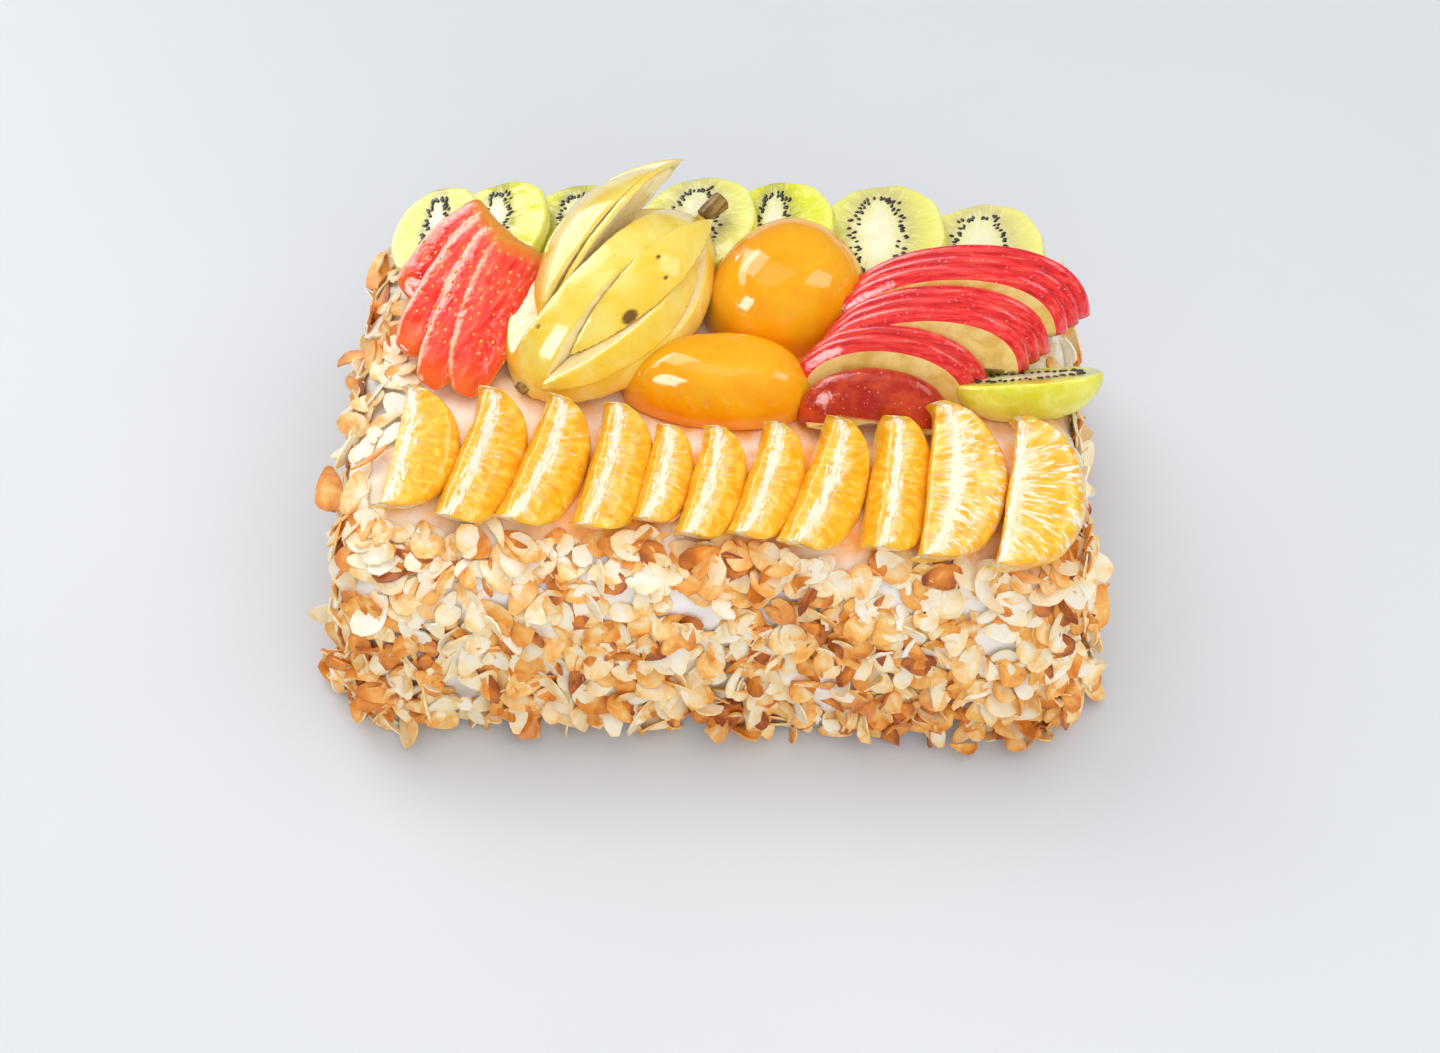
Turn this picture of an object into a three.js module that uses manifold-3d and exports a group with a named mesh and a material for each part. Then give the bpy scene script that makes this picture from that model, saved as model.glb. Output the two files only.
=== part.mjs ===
// Fruit roll cake: a cream log coated with flaked almonds, with glazed fruit laid along its top.
// Millimetres, +Z up, +X along the log, +Y to the back. The bottom centre of the cake is the origin.
import * as THREE from "three";
import { mergeVertices } from "three/addons/utils/BufferGeometryUtils.js";
import Module from "manifold-3d";

const wasm = await Module();
wasm.setup();

// Driving dimensions: the cream log
const LOG_LENGTH = 236;
const LOG_DEPTH = 156;
const LOG_HEIGHT = 88;
const LOG_MID_HEIGHT = 44;
const LOG_SHIFT = -2; // the log's middle along X, from the middle of its fruit
const LOG_END_ROUND = 15;
const LOG_FOOT_CUT = 1; // how far the round underside is cut off flat
const FOOT_FLARE = 0.07; // how much longer and deeper the foot is than the top
const TOP_POWER = 3; // exponents of the section's superellipse, above and below mid height
const FOOT_POWER = 9;
const CREAM_WAVE = 1.1;
const SECTION_POINTS = 32;
const BODY_STATIONS = 13;

// Driving dimensions: the almond flakes
const FLAKE_LENGTH = [12.5, 18.5];
const FLAKE_WIDTH = [8, 11];
const FLAKE_THICKNESS = 1.1;
const FLAKE_SIDES = 7;
const FLAKE_FLOOR = 0.8;
const FRONT_FLAKES = 74;
const BACK_FLAKES = 26;
const END_FLAKES = 16;
const WALL_SHARES = [-0.86, 0.88]; // lowest and highest, of the height from mid height

// Driving dimensions: the fruit
const GAP = 0.3; // between pieces that touch
const SEGMENT_LENGTH = 43;
const SEGMENT_DEPTH = 28;
const SEGMENT_BACK = 19;
const KIWI_THICKNESS = 5.5;
const PEAR_LENGTH = 88;
const PEAR_RADIUS = 30;
const APPLE_THICKNESS = 4.6;

const DEG = Math.PI / 180;
const X_AXIS = new THREE.Vector3(1, 0, 0);
const Z_AXIS = new THREE.Vector3(0, 0, 1);
const at = (x, y, z) => new THREE.Vector3(x, y, z);
const signedPower = (value, power) => Math.sign(value) * Math.abs(value) ** power;

// A repeatable random number in [0, 1) from a seed.
function seededRandom(seed) {
  let state = seed;
  return () => {
    state = (state * 1664525 + 1013904223) % 4294967296;
    return state / 4294967296;
  };
}

// Closed body through rings of equal size, each end closed by a fan round its middle.
function loft(rings) {
  const size = rings[0].length;
  const middle = (ring) =>
    ring.reduce((sum, p) => sum.add(p), at(0, 0, 0)).divideScalar(size);
  const points = [middle(rings[0]), ...rings.flat(), middle(rings.at(-1))];
  const last = points.length - 1;
  const faces = [];
  for (let i = 0; i < size; i += 1) {
    const next = (i + 1) % size;
    faces.push([0, 1 + next, 1 + i]);
    for (let r = 0; r < rings.length - 1; r += 1) {
      const a = 1 + r * size;
      const b = a + size;
      faces.push([a + i, a + next, b + next], [a + i, b + next, b + i]);
    }
    const end = 1 + (rings.length - 1) * size;
    faces.push([last, end + i, end + next]);
  }
  return facedOut(points, faces);
}

// Geometry from points and triangles, turned so that its volume is positive.
function facedOut(points, faces) {
  let volume = 0;
  for (const [a, b, c] of faces) {
    volume += points[a].dot(at(0, 0, 0).crossVectors(points[b], points[c]));
  }
  const order = volume < 0 ? [0, 2, 1] : [0, 1, 2];
  const geometry = new THREE.BufferGeometry().setFromPoints(points);
  geometry.setIndex(faces.flatMap((face) => order.map((k) => face[k])));
  return mergeVertices(geometry, 1e-4);
}

// Solid for joining and cutting, from a closed geometry.
function solid(geometry) {
  return new wasm.Manifold(
    new wasm.Mesh({
      numProp: 3,
      vertProperties: new Float32Array(geometry.attributes.position.array),
      triVerts: new Uint32Array(geometry.index.array),
    }),
  );
}

// Geometry of the largest body of a solid; loose scraps are dropped.
function geometryOf(body) {
  const pieces = body.decompose().sort((a, b) => b.volume() - a.volume());
  const mesh = pieces[0].getMesh();
  const geometry = new THREE.BufferGeometry();
  geometry.setAttribute("position", new THREE.BufferAttribute(mesh.vertProperties, 3));
  geometry.setIndex(new THREE.BufferAttribute(mesh.triVerts, 1));
  return geometry;
}

function piece(name, geometry, colour, roughness) {
  const flat = geometry.toNonIndexed();
  flat.computeVertexNormals();
  const material = new THREE.MeshStandardMaterial({ color: colour, roughness, metalness: 0 });
  const mesh = new THREE.Mesh(flat, material);
  mesh.name = name;
  return mesh;
}

// Matrix that carries local x, y, z to three directions, of which only the first two are given.
function frameOf(origin, alongX, nearY) {
  const x = alongX.clone().normalize();
  const z = at(0, 0, 0).crossVectors(x, nearY).normalize();
  const y = at(0, 0, 0).crossVectors(z, x);
  return new THREE.Matrix4().makeBasis(x, y, z).setPosition(origin);
}

// How far the cream is drawn in at a place along the log: the round of its ends.
function endInset(x) {
  const past = Math.abs(x) - (LOG_LENGTH / 2 - LOG_END_ROUND);
  if (past <= 0) return 0;
  const reach = Math.min(past, LOG_END_ROUND);
  return LOG_END_ROUND - Math.sqrt(LOG_END_ROUND ** 2 - reach ** 2);
}

const flare = (z) => 1 + FOOT_FLARE * (1 - z / LOG_HEIGHT);

// Point of the cream's surface: x along the log, angle round its section, grown outward.
function creamPoint(x, angle, grow = 0) {
  const wave = CREAM_WAVE * Math.sin(x / 19 + 2.1 * angle) * Math.cos(x / 31 - 1.3 * angle);
  const inset = endInset(x) - grow - wave;
  const power = Math.sin(angle) > 0 ? TOP_POWER : FOOT_POWER;
  const below = Math.sin(angle) > 0 ? 0 : LOG_FOOT_CUT;
  const halfHeight = LOG_HEIGHT - LOG_MID_HEIGHT + below - inset;
  const y = (LOG_DEPTH / 2 - inset) * signedPower(Math.cos(angle), 2 / power);
  const z = LOG_MID_HEIGHT + halfHeight * signedPower(Math.sin(angle), 2 / power);
  return at(x * flare(z) + LOG_SHIFT, y * flare(z), Math.max(z, -grow));
}

// The cream log: rings along X, close together at its round ends.
function creamGeometry(grow = 0) {
  const half = LOG_LENGTH / 2;
  const straight = half - LOG_END_ROUND;
  const stations = [];
  for (const turn of [0, 35, 65]) {
    stations.push(-straight - LOG_END_ROUND * Math.cos(turn * DEG));
  }
  for (let i = 0; i < BODY_STATIONS; i += 1) {
    stations.push(-straight + (2 * straight * i) / (BODY_STATIONS - 1));
  }
  for (const turn of [65, 35, 0]) {
    stations.push(straight + LOG_END_ROUND * Math.cos(turn * DEG));
  }
  const rings = stations.map((x) =>
    Array.from({ length: SECTION_POINTS }, (_, i) => {
      const point = creamPoint(x, (2 * Math.PI * i) / SECTION_POINTS, grow);
      point.x += Math.sign(x) * (Math.abs(x) > straight ? grow : 0);
      return point;
    }),
  );
  return loft(rings);
}

// Outward direction of the cream's surface at a place on its long walls.
function creamNormal(x, angle) {
  const step = 0.02;
  const along = creamPoint(x + 1, angle).sub(creamPoint(x - 1, angle));
  const round = creamPoint(x, angle + step).sub(creamPoint(x, angle - step));
  return at(0, 0, 0).crossVectors(round, along).normalize();
}

// One almond flake: a thin, slightly cupped teardrop plate.
function flakeGeometry(random) {
  const between = ([low, high]) => low + (high - low) * random();
  const length = between(FLAKE_LENGTH);
  const width = between(FLAKE_WIDTH);
  const cup = 0.5 + 1.2 * random();
  const broken = random() < 0.3 ? 0.55 : 1;
  const outline = Array.from({ length: FLAKE_SIDES }, (_, i) => {
    const angle = (2 * Math.PI * i) / FLAKE_SIDES;
    const x = Math.min(Math.cos(angle), broken) * length * 0.5;
    const taper = 1 - 0.35 * Math.cos(angle);
    const y = Math.sin(angle) * width * 0.5 * taper;
    return at(x, y, cup * ((2 * x) / length) ** 2);
  });
  const lower = outline.map((p) => p.clone().setZ(p.z - FLAKE_THICKNESS / 2));
  const upper = outline.map((p) => p.clone().setZ(p.z + FLAKE_THICKNESS / 2));
  return loft([lower, upper]);
}

// A flake lying on the surface at a point, tipped so that one edge is pressed into the cream.
function placedFlake(point, normal, random, steep) {
  const spin = random() * 2 * Math.PI;
  const tip = (8 + steep * random()) * DEG;
  const side = Math.abs(normal.z) > 0.9 ? X_AXIS : Z_AXIS;
  const place = frameOf(point, at(0, 0, 0).crossVectors(side, normal), normal);
  const lay = new THREE.Matrix4().makeRotationX(-90 * DEG);
  const turn = new THREE.Matrix4().makeRotationZ(spin);
  const lean = new THREE.Matrix4().makeRotationY(tip);
  const lift = new THREE.Matrix4().makeTranslation(0, 0, 4.5 * Math.sin(tip) - 0.2);
  const matrix = place.multiply(lay).multiply(lift).multiply(turn).multiply(lean);
  return flakeGeometry(random).applyMatrix4(matrix);
}

// Angle round the section at a share of the way from mid height up to the top, or, where the
// share is negative, down to the foot.
function wallAngle(share) {
  return Math.asin(signedPower(share, (share > 0 ? TOP_POWER : FOOT_POWER) / 2));
}

// Places for the flakes, spread evenly over front, back and ends by a low-discrepancy rule.
function flakePlaces(random) {
  const golden = 0.61803;
  const places = [];
  const wall = (count, angleOf, seed) => {
    const [low, high] = WALL_SHARES;
    for (let i = 0; i < count; i += 1) {
      const across = (i * golden + seed) % 1;
      const x = (across - 0.5) * (LOG_LENGTH - 12);
      const angle = angleOf(wallAngle(low + ((high - low) * (i + random())) / count));
      places.push([creamPoint(x, angle), creamNormal(x, angle)]);
    }
  };
  wall(FRONT_FLAKES, (angle) => Math.PI - angle, 0.1);
  wall(BACK_FLAKES, (angle) => angle, 0.4);
  for (const end of [-1, 1]) {
    for (let i = 0; i < END_FLAKES; i += 1) {
      const y = (((i * golden) % 1) - 0.5) * (LOG_DEPTH - 46);
      const z = 9 + ((LOG_HEIGHT - 22) * (i + random())) / END_FLAKES;
      const x = LOG_SHIFT + end * (LOG_LENGTH / 2) * flare(z);
      places.push([at(x, y, z), at(end, 0, 0)]);
    }
  }
  return places;
}

// The cake's body with its flakes fused on, each flake clear of the space that fruit needs.
function cakeBody(fruitSpace) {
  const random = seededRandom(7);
  let body = solid(creamGeometry());
  for (const [point, normal] of flakePlaces(random)) {
    const flake = placedFlake(point, normal, random, point.z < 40 ? 42 : 26);
    flake.computeBoundingBox();
    const blocked = !solid(flake).intersect(fruitSpace).isEmpty();
    if (!blocked && flake.boundingBox.min.z > FLAKE_FLOOR) body = body.add(solid(flake));
  }
  return geometryOf(body);
}

// A crescent wedge along local x: straight inner edge towards +z, round back towards -z.
function crescent(length, depth, back) {
  const stations = 8;
  const rings = [];
  for (let i = 0; i < stations; i += 1) {
    const angle = (-80 + (160 * i) / (stations - 1)) * DEG;
    const full = Math.cos(angle) ** 0.8;
    const x = (length / 2) * Math.sin(angle);
    const inner = (0.3 - 0.04 * full) * depth;
    const outer = (0.5 - full) * depth;
    const half = (back / 2) * full ** 0.7;
    const span = inner - outer;
    rings.push([
      at(x, -0.1 * half, inner),
      at(x, 0.1 * half, inner),
      at(x, 0.74 * half, inner - 0.3 * span),
      at(x, half, inner - 0.68 * span),
      at(x, 0.7 * half, inner - 0.94 * span),
      at(x, 0, outer),
      at(x, -0.7 * half, inner - 0.94 * span),
      at(x, -half, inner - 0.68 * span),
      at(x, -0.74 * half, inner - 0.3 * span),
    ]);
  }
  return loft(rings);
}

// Mandarin segments along the front shoulder: middle, size, roll to the left, lean to the right.
const MANDARINS = [
  { x: -98, y: -35.6, size: 0.96, roll: 60, lean: 9 },
  { x: -77.2, y: -38.5, size: 1.05, roll: 32, lean: 17 },
  { x: -56.6, y: -40, size: 1.02, roll: 30, lean: 20 },
  { x: -35, y: -42, size: 0.98, roll: 30, lean: 13 },
  { x: -18.4, y: -43.7, size: 0.75, roll: 28, lean: 13 },
  { x: -3, y: -47, size: 0.86, roll: 30, lean: 14 },
  { x: 15, y: -46, size: 0.9, roll: 32, lean: 17 },
  { x: 33.5, y: -47, size: 1.02, roll: 32, lean: 20 },
  { x: 55.6, y: -46.5, size: 1.02, roll: 20, lean: 7 },
  { x: 74.3, y: -45.5, size: 1.21, roll: 58, lean: 6 },
  { x: 99.5, y: -49.5, size: 1.16, roll: 66, lean: 9 },
];
const SHOULDER_FALL = 17; // degrees that the segments slope down to the front
const SEGMENT_HEIGHT = 91;

function mandarinShape({ x, y, size, roll, lean }, grow) {
  const slope = SHOULDER_FALL * DEG;
  const side = Math.sin(lean * DEG);
  const along = at(side, Math.cos(lean * DEG) * Math.cos(slope), Math.sin(slope));
  const up = at(-Math.sin(roll * DEG), -0.45, Math.cos(roll * DEG));
  const across = at(0, 0, 0).crossVectors(up, along);
  const [length, depth, back] = [SEGMENT_LENGTH, SEGMENT_DEPTH, SEGMENT_BACK].map(
    (measure) => measure * size + 2 * grow,
  );
  const geometry = crescent(length, depth, back);
  return solid(geometry.applyMatrix4(frameOf(at(x, y, SEGMENT_HEIGHT), along, across)));
}

// Kiwi slices shingled along the back: right edge, width, tilt that raises it, middle, length.
const KIWIS = [
  { right: -83, width: 33, tilt: 18, y: 56, length: 42 },
  { right: -60, width: 38, tilt: 17, y: 58, length: 44 },
  { right: -33, width: 38, tilt: 12, y: 60, length: 42 },
  { right: 11, width: 42, tilt: 13, y: 62, length: 46 },
  { right: 38, width: 42, tilt: 14, y: 59, length: 48 },
  { right: 76, width: 46, tilt: 12, y: 57, length: 51 },
  { right: 110, width: 44, tilt: 9, y: 52, length: 47 },
];
const KIWI_SIDES = 18;

function kiwiShape({ right, width, tilt, y, length }, grow) {
  const outline = (scale, z) =>
    Array.from({ length: KIWI_SIDES }, (_, i) => {
      const angle = (2 * Math.PI * i) / KIWI_SIDES;
      const reachX = (width / 2) * scale + grow;
      const reachY = (length / 2) * scale + grow;
      const cos = signedPower(Math.cos(angle), 0.86);
      return at(reachX * cos, reachY * signedPower(Math.sin(angle), 0.86), z);
    });
  const rim = [outline(0.95, -grow), outline(1, KIWI_THICKNESS * 0.45)];
  const geometry = loft([...rim, outline(0.93, KIWI_THICKNESS + grow)]);
  const rise = tilt * DEG;
  geometry.rotateY(-rise).rotateX(-3 * DEG);
  const x = right - (width / 2) * Math.cos(rise);
  return solid(geometry.translate(x, y, LOG_HEIGHT + 0.4 + (width / 2) * Math.sin(rise)));
}

// Dome on a flat face, egg-shaped in plan: its height is along +z, its narrow end towards -x.
function dome({ length, width, height, crown, egg }, grow) {
  const sides = 18;
  const rings = [];
  for (const rise of [0, 14, 32, 50, 67, 82]) {
    const spread = Math.cos(rise * DEG) ** crown;
    const z = rise === 0 ? -grow : (height + grow) * Math.sin(rise * DEG);
    rings.push(
      Array.from({ length: sides }, (_, i) => {
        const angle = (2 * Math.PI * i) / sides;
        const x = (length / 2 + grow) * Math.cos(angle);
        const broad = 1 + egg * Math.cos(angle);
        const y = (width / 2 + grow) * signedPower(Math.sin(angle), 0.9) * broad;
        return at(x * spread, y * spread, z);
      }),
    );
  }
  return loft(rings);
}

// Kiwi boat at the front right: a thick lengthwise piece whose cut face leans up and back.
const BOAT = { length: 50, width: 25, height: 14, crown: 0.75, egg: 0.1 };

function boatShape(grow) {
  const along = at(49, 6, 1);
  const cutFace = at(0, 0.63, 0.78);
  const place = frameOf(at(100, -5, 99), along, at(0, 0, 0).crossVectors(along, cutFace));
  return solid(dome(BOAT, grow).applyMatrix4(place));
}

const PEACHES = [
  {
    place: [20, 35.5, 87], tip: 4, turn: 36,
    length: 58, width: 50, height: 28, crown: 0.8, egg: 0.14,
  },
  {
    place: [-1, -5, 87], tip: -6, turn: 0,
    length: 64, width: 33, height: 20, crown: 0.64, egg: 0.12,
  },
];

function peachShape(spec, grow) {
  const geometry = dome(spec, grow).rotateX(spec.tip * DEG).rotateZ(spec.turn * DEG);
  return solid(geometry.translate(...spec.place));
}

// Radius of the pear at a distance from its calyx end: a full belly that runs out to the neck.
function pearRadius(s) {
  const t = s / PEAR_LENGTH;
  const power = t < 0.5 ? 0.47 : 0.68;
  return PEAR_RADIUS * Math.max(0.14, Math.sin(Math.PI * t) ** power);
}

// Half a pear, flat face down: x across, y along from calyx to stem, z up from the cut.
function pearHalf(grow = 0) {
  const arcPoints = 15;
  const stations = 14;
  const rings = [];
  for (let i = 0; i <= stations; i += 1) {
    const s = (PEAR_LENGTH * (1 - Math.cos((Math.PI * i) / stations))) / 2;
    const y = s + grow * ((2 * i) / stations - 1);
    const radius = pearRadius(s) + grow;
    const ring = Array.from({ length: arcPoints }, (_, k) => {
      const angle = (Math.PI * k) / (arcPoints - 1);
      return at(radius * Math.cos(angle), y, radius * Math.sin(angle));
    });
    ring[0].z = -grow;
    ring[arcPoints - 1].z = -grow;
    rings.push(ring);
  }
  return solid(loft(rings));
}

// V-shaped cutter along the pear: its edge runs beside the axis at a distance, towards a
// bearing from straight up, and its two walls open from there at a half angle.
function veeCutter({ bearing, edge, open }, inset = 0) {
  const reach = 70;
  const depth = edge + inset / Math.sin(open * DEG);
  const rings = [-40, PEAR_LENGTH + 40].map((y) =>
    [
      [0, depth],
      [-reach * Math.sin(open * DEG), depth + reach * Math.cos(open * DEG)],
      [reach * Math.sin(open * DEG), depth + reach * Math.cos(open * DEG)],
    ].map(([across, out]) =>
      at(
        across * Math.cos(bearing * DEG) + out * Math.sin(bearing * DEG),
        y,
        out * Math.cos(bearing * DEG) - across * Math.sin(bearing * DEG),
      ),
    ),
  );
  return solid(loft(rings));
}

// The pear's nested V cuts on its left and right. The two leaves of each cut are slid along
// the axis, and those on the left are also turned up and away from the lower tip.
const PEAR_CUTS = {
  left: {
    outer: { bearing: -38, edge: 12.5, open: 52 },
    inner: { bearing: -38, edge: 14.5, open: 48 },
    slides: [17, 13],
    pitch: 5,
    yaw: 4,
  },
  right: {
    outer: { bearing: 44, edge: 12, open: 43 },
    inner: { bearing: 32, edge: 13, open: 30 },
    slides: [-4, 8],
    pitch: 0,
    yaw: 0,
  },
};
const LEAF_TIP = 4; // how far the cuts start from the calyx end
const PEAR_CALYX = at(-65, -8, LOG_HEIGHT + 1);
const PEAR_AXIS = at(60, 68, 15);
const PEAR_PLACE = frameOf(PEAR_CALYX, at(PEAR_AXIS.y, -PEAR_AXIS.x, 0), PEAR_AXIS);

const onPear = (body, move = new THREE.Matrix4()) =>
  body.transform(PEAR_PLACE.clone().multiply(move).elements);

// Base of the pear with both grooves; grown, it is the whole half.
function pearBaseShape(grow) {
  const half = pearHalf(grow);
  if (grow > 0) return onPear(half);
  const { left, right } = PEAR_CUTS;
  return onPear(half.subtract(veeCutter(left.outer)).subtract(veeCutter(right.outer)));
}

// One leaf of a cut: number 0 is the outer V, number 1 the wedge inside it.
function pearLeafShape({ outer, inner, slides, pitch, yaw }, number, grow) {
  const stack = pearHalf(grow).intersect(veeCutter(outer, GAP - grow));
  const wedge = stack.intersect(veeCutter(inner, GAP - grow));
  const leaf = number === 1 ? wedge : stack.subtract(veeCutter(inner, 2 * grow));
  const hinge = at(0, LEAF_TIP, outer.edge);
  const move = new THREE.Matrix4().makeTranslation(0, hinge.y + slides[number], hinge.z);
  move.multiply(new THREE.Matrix4().makeRotationX(pitch * DEG));
  move.multiply(new THREE.Matrix4().makeRotationZ(yaw * DEG));
  move.multiply(new THREE.Matrix4().makeTranslation(0, -hinge.y, -hinge.z));
  return onPear(leaf, move);
}

// The pear's woody stem stub, just off its neck.
function pearStemShape(grow) {
  const length = 9;
  const stub = new THREE.CylinderGeometry(3.4 + grow, 2.8 + grow, length + 2 * grow, 9, 1);
  for (const name of ["normal", "uv"]) stub.deleteAttribute(name);
  stub.translate(0, PEAR_LENGTH + length / 2 + GAP, 3);
  return onPear(solid(mergeVertices(stub, 1e-4)));
}

// Strawberry fan: lengthwise slices, side by side and joined where they cross.
// Its calyx end is propped on the fruit behind, and the tips lie on the cream.
const STRAWBERRY = {
  calyx: [at(-78, 51, 109), at(-69, 41, 107)],
  tips: [at(-109, 30, 95), at(-106, 5, 94), at(-97, -9, 93), at(-85, -12, 92)],
  width: 23,
  thickness: 8,
  cant: 22,
};

function strawberrySlice(number, grow) {
  const { calyx, tips, width, thickness, cant } = STRAWBERRY;
  const start = calyx[0].clone().lerp(calyx[1], number / (tips.length - 1));
  const along = tips[number].clone().sub(start);
  const rings = [];
  for (const t of [0, 0.08, 0.25, 0.5, 0.75, 0.92, 1]) {
    const broad = Math.sin(Math.PI * Math.min(1, (t + 0.06) / 1.07) ** 0.62) ** 0.34;
    const half = Math.max(0.06, broad) * (width / 2) + grow;
    const thick = Math.max(0.2, broad) * (thickness / 2) + grow;
    rings.push(
      Array.from({ length: 8 }, (_, i) => {
        const angle = (2 * Math.PI * i) / 8;
        const z = thick * signedPower(Math.sin(angle), 0.8);
        return at((along.length() + grow) * t, half * Math.cos(angle), z);
      }),
    );
  }
  const level = at(0, 0, 0).crossVectors(Z_AXIS, along);
  const geometry = loft(rings).rotateX(-cant * DEG).applyMatrix4(frameOf(start, along, level));
  return solid(geometry);
}

function strawberryShape(grow) {
  return STRAWBERRY.tips
    .map((_, number) => strawberrySlice(number, grow))
    .reduce((sum, slice) => sum.add(slice));
}

// Apple slices: thin half-moons standing on their core edge, skin up, fanned in four steps.
const APPLE_STEPS = [
  { count: 3, left: at(39, 29, 82), right: at(123, 26, 96), height: 29, lean: 20, slope: 4.6 },
  { count: 3, left: at(33, 12, 84), right: at(109, 12, 93), height: 27, lean: 20, slope: 4.6 },
  { count: 2, left: at(25, 0, 87), right: at(88, -6, 89), height: 25, lean: 20, slope: 5 },
  { count: 1, left: at(25, -15, 88), right: at(75, -17, 88), height: 20, lean: 24, slope: 12 },
];
const APPLE_PITCH = APPLE_THICKNESS + 0.5;
const APPLE_SHRINK = 0.03; // how much smaller each slice is than the one behind it
const APPLE_SLIP = 2.5; // how far it is slipped to the left

// Half-moon plate: x along the chord, y up the slice, z through it to the front. Its skin
// edge slopes in to the front face.
function halfMoon(length, height, thickness, slope, grow) {
  const points = 11;
  const outline = (inset, z) => {
    const rim = Array.from({ length: points }, (_, i) => {
      const angle = (Math.PI * i) / (points - 1);
      const x = (length / 2 - inset + grow) * Math.cos(angle);
      const rise = (height - inset + 2 * grow) * Math.sin(angle) ** 0.8;
      return at(x, rise - grow, z);
    });
    const core = [-0.5, 0, 0.5].map((t) => at(t * length * 0.6, 3 - 3 * t * t - grow, z));
    return [...rim, ...core];
  };
  return loft([
    outline(1, -grow),
    outline(0, thickness * 0.25),
    outline(slope * 0.4, thickness * 0.72),
    outline(slope, thickness + grow),
  ]);
}

function appleShape({ count, left, right, height, lean, slope }, number, grow) {
  const chord = right.clone().sub(left);
  const middle = left.clone().add(right).divideScalar(2);
  const thickness = count === 1 ? APPLE_THICKNESS * 2 : APPLE_THICKNESS;
  const size = 1 - APPLE_SHRINK * number;
  const up = at(0, Math.sin(lean * DEG), Math.cos(lean * DEG));
  const geometry = halfMoon(chord.length() * size, height * size, thickness, slope, grow);
  geometry.translate(-APPLE_SLIP * number, 0, number * APPLE_PITCH);
  return solid(geometry.applyMatrix4(frameOf(middle, chord, up)));
}

// All the fruit, each piece a shape that can be grown by a clearance. Where two meet, the
// one that stands first in the list is whole, and the other is cut clear of it.
function fruitList() {
  const list = [];
  const add = (name, family, colour, roughness, shape) =>
    list.push({ name, family, colour, roughness, shape });
  for (const [side, cut] of Object.entries(PEAR_CUTS)) {
    ["leaf", "wedge"].forEach((kind, number) => {
      const shape = (grow) => pearLeafShape(cut, number, grow);
      add(`pear_${kind}_${side}`, "pear", 0xf2cf33, 0.35, shape);
    });
  }
  add("pear_base", "pear", 0xf2cf33, 0.35, pearBaseShape);
  add("pear_stem", "pear", 0x6e5a2a, 0.8, pearStemShape);
  PEACHES.forEach((spec, i) => {
    add(`peach_half_${i + 1}`, "peach", 0xffa51e, 0.25, (grow) => peachShape(spec, grow));
  });
  const slices = APPLE_STEPS.flatMap((step) =>
    Array.from({ length: step.count }, (_, number) => (grow) => appleShape(step, number, grow)),
  );
  for (let i = slices.length; i > 0; i -= 1) {
    add(`apple_slice_${i}`, "apple", 0xc81f2d, 0.3, slices[i - 1]);
  }
  add("strawberry_fan", "strawberry", 0xe8402f, 0.3, strawberryShape);
  add("kiwi_boat", "kiwi", 0xc4dc3c, 0.35, boatShape);
  MANDARINS.forEach((spec, i) => {
    const shape = (grow) => mandarinShape(spec, grow);
    add(`mandarin_${i + 1}`, "mandarin", 0xffa41c, 0.3, shape);
  });
  KIWIS.forEach((spec, i) => {
    add(`kiwi_slice_${i + 1}`, "slices", 0xc9e04a, 0.35, (grow) => kiwiShape(spec, grow));
  });
  return list;
}

// Fruit fitted to the cream and to what it lies against, with a gap all round, and the
// space that it needs.
function fittedFruit() {
  const cream = solid(creamGeometry(GAP));
  const placed = [];
  const meshes = fruitList().map(({ name, family, colour, roughness, shape }) => {
    let body = shape(0).subtract(cream);
    for (const other of placed) {
      const apart = other.family === family && family === "pear";
      if (!apart && !body.intersect(other.grown).isEmpty()) body = body.subtract(other.grown);
    }
    placed.push({ family, grown: shape(GAP) });
    return piece(name, mergeVertices(geometryOf(body), 1e-3), colour, roughness);
  });
  const space = placed.map(({ grown }) => grown).reduce((sum, grown) => sum.add(grown));
  return { meshes, space };
}

const fruit = fittedFruit();
const cake = new THREE.Group();
cake.add(piece("cake_roll", cakeBody(fruit.space), 0xf7efdc, 0.7), ...fruit.meshes);

// The group is moved so that the middle of its underside is the origin.
const bounds = new THREE.Box3().setFromObject(cake);
const middle = bounds.getCenter(at(0, 0, 0));
cake.position.set(-middle.x, -middle.y, -bounds.min.z);

export default cake;
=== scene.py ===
"""Looks of the fruit roll cake. Shapes are made in millimetres and finished in metres."""

import itertools
import math

import bpy
import numpy as np
from mathutils import Matrix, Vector
from mathutils.kdtree import KDTree


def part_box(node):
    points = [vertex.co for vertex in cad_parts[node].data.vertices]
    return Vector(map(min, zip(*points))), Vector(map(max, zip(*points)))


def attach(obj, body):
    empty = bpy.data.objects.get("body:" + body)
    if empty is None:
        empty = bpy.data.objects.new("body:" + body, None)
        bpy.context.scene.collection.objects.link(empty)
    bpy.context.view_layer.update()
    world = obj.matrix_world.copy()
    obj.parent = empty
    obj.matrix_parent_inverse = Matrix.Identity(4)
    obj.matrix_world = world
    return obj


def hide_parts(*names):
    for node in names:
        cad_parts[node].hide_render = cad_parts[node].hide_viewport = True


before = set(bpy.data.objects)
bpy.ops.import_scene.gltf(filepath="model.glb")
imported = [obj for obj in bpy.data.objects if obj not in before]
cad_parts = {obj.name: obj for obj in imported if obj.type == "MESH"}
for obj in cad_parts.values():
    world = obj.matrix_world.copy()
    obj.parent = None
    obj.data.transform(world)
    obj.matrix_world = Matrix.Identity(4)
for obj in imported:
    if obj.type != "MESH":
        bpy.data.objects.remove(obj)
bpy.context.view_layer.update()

MM = 0.001
DEG = math.pi / 180
X, Y, Z = np.eye(3)


# Small tools for shapes


def unit(vector):
    return np.asarray(vector, float) / np.linalg.norm(vector)


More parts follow.
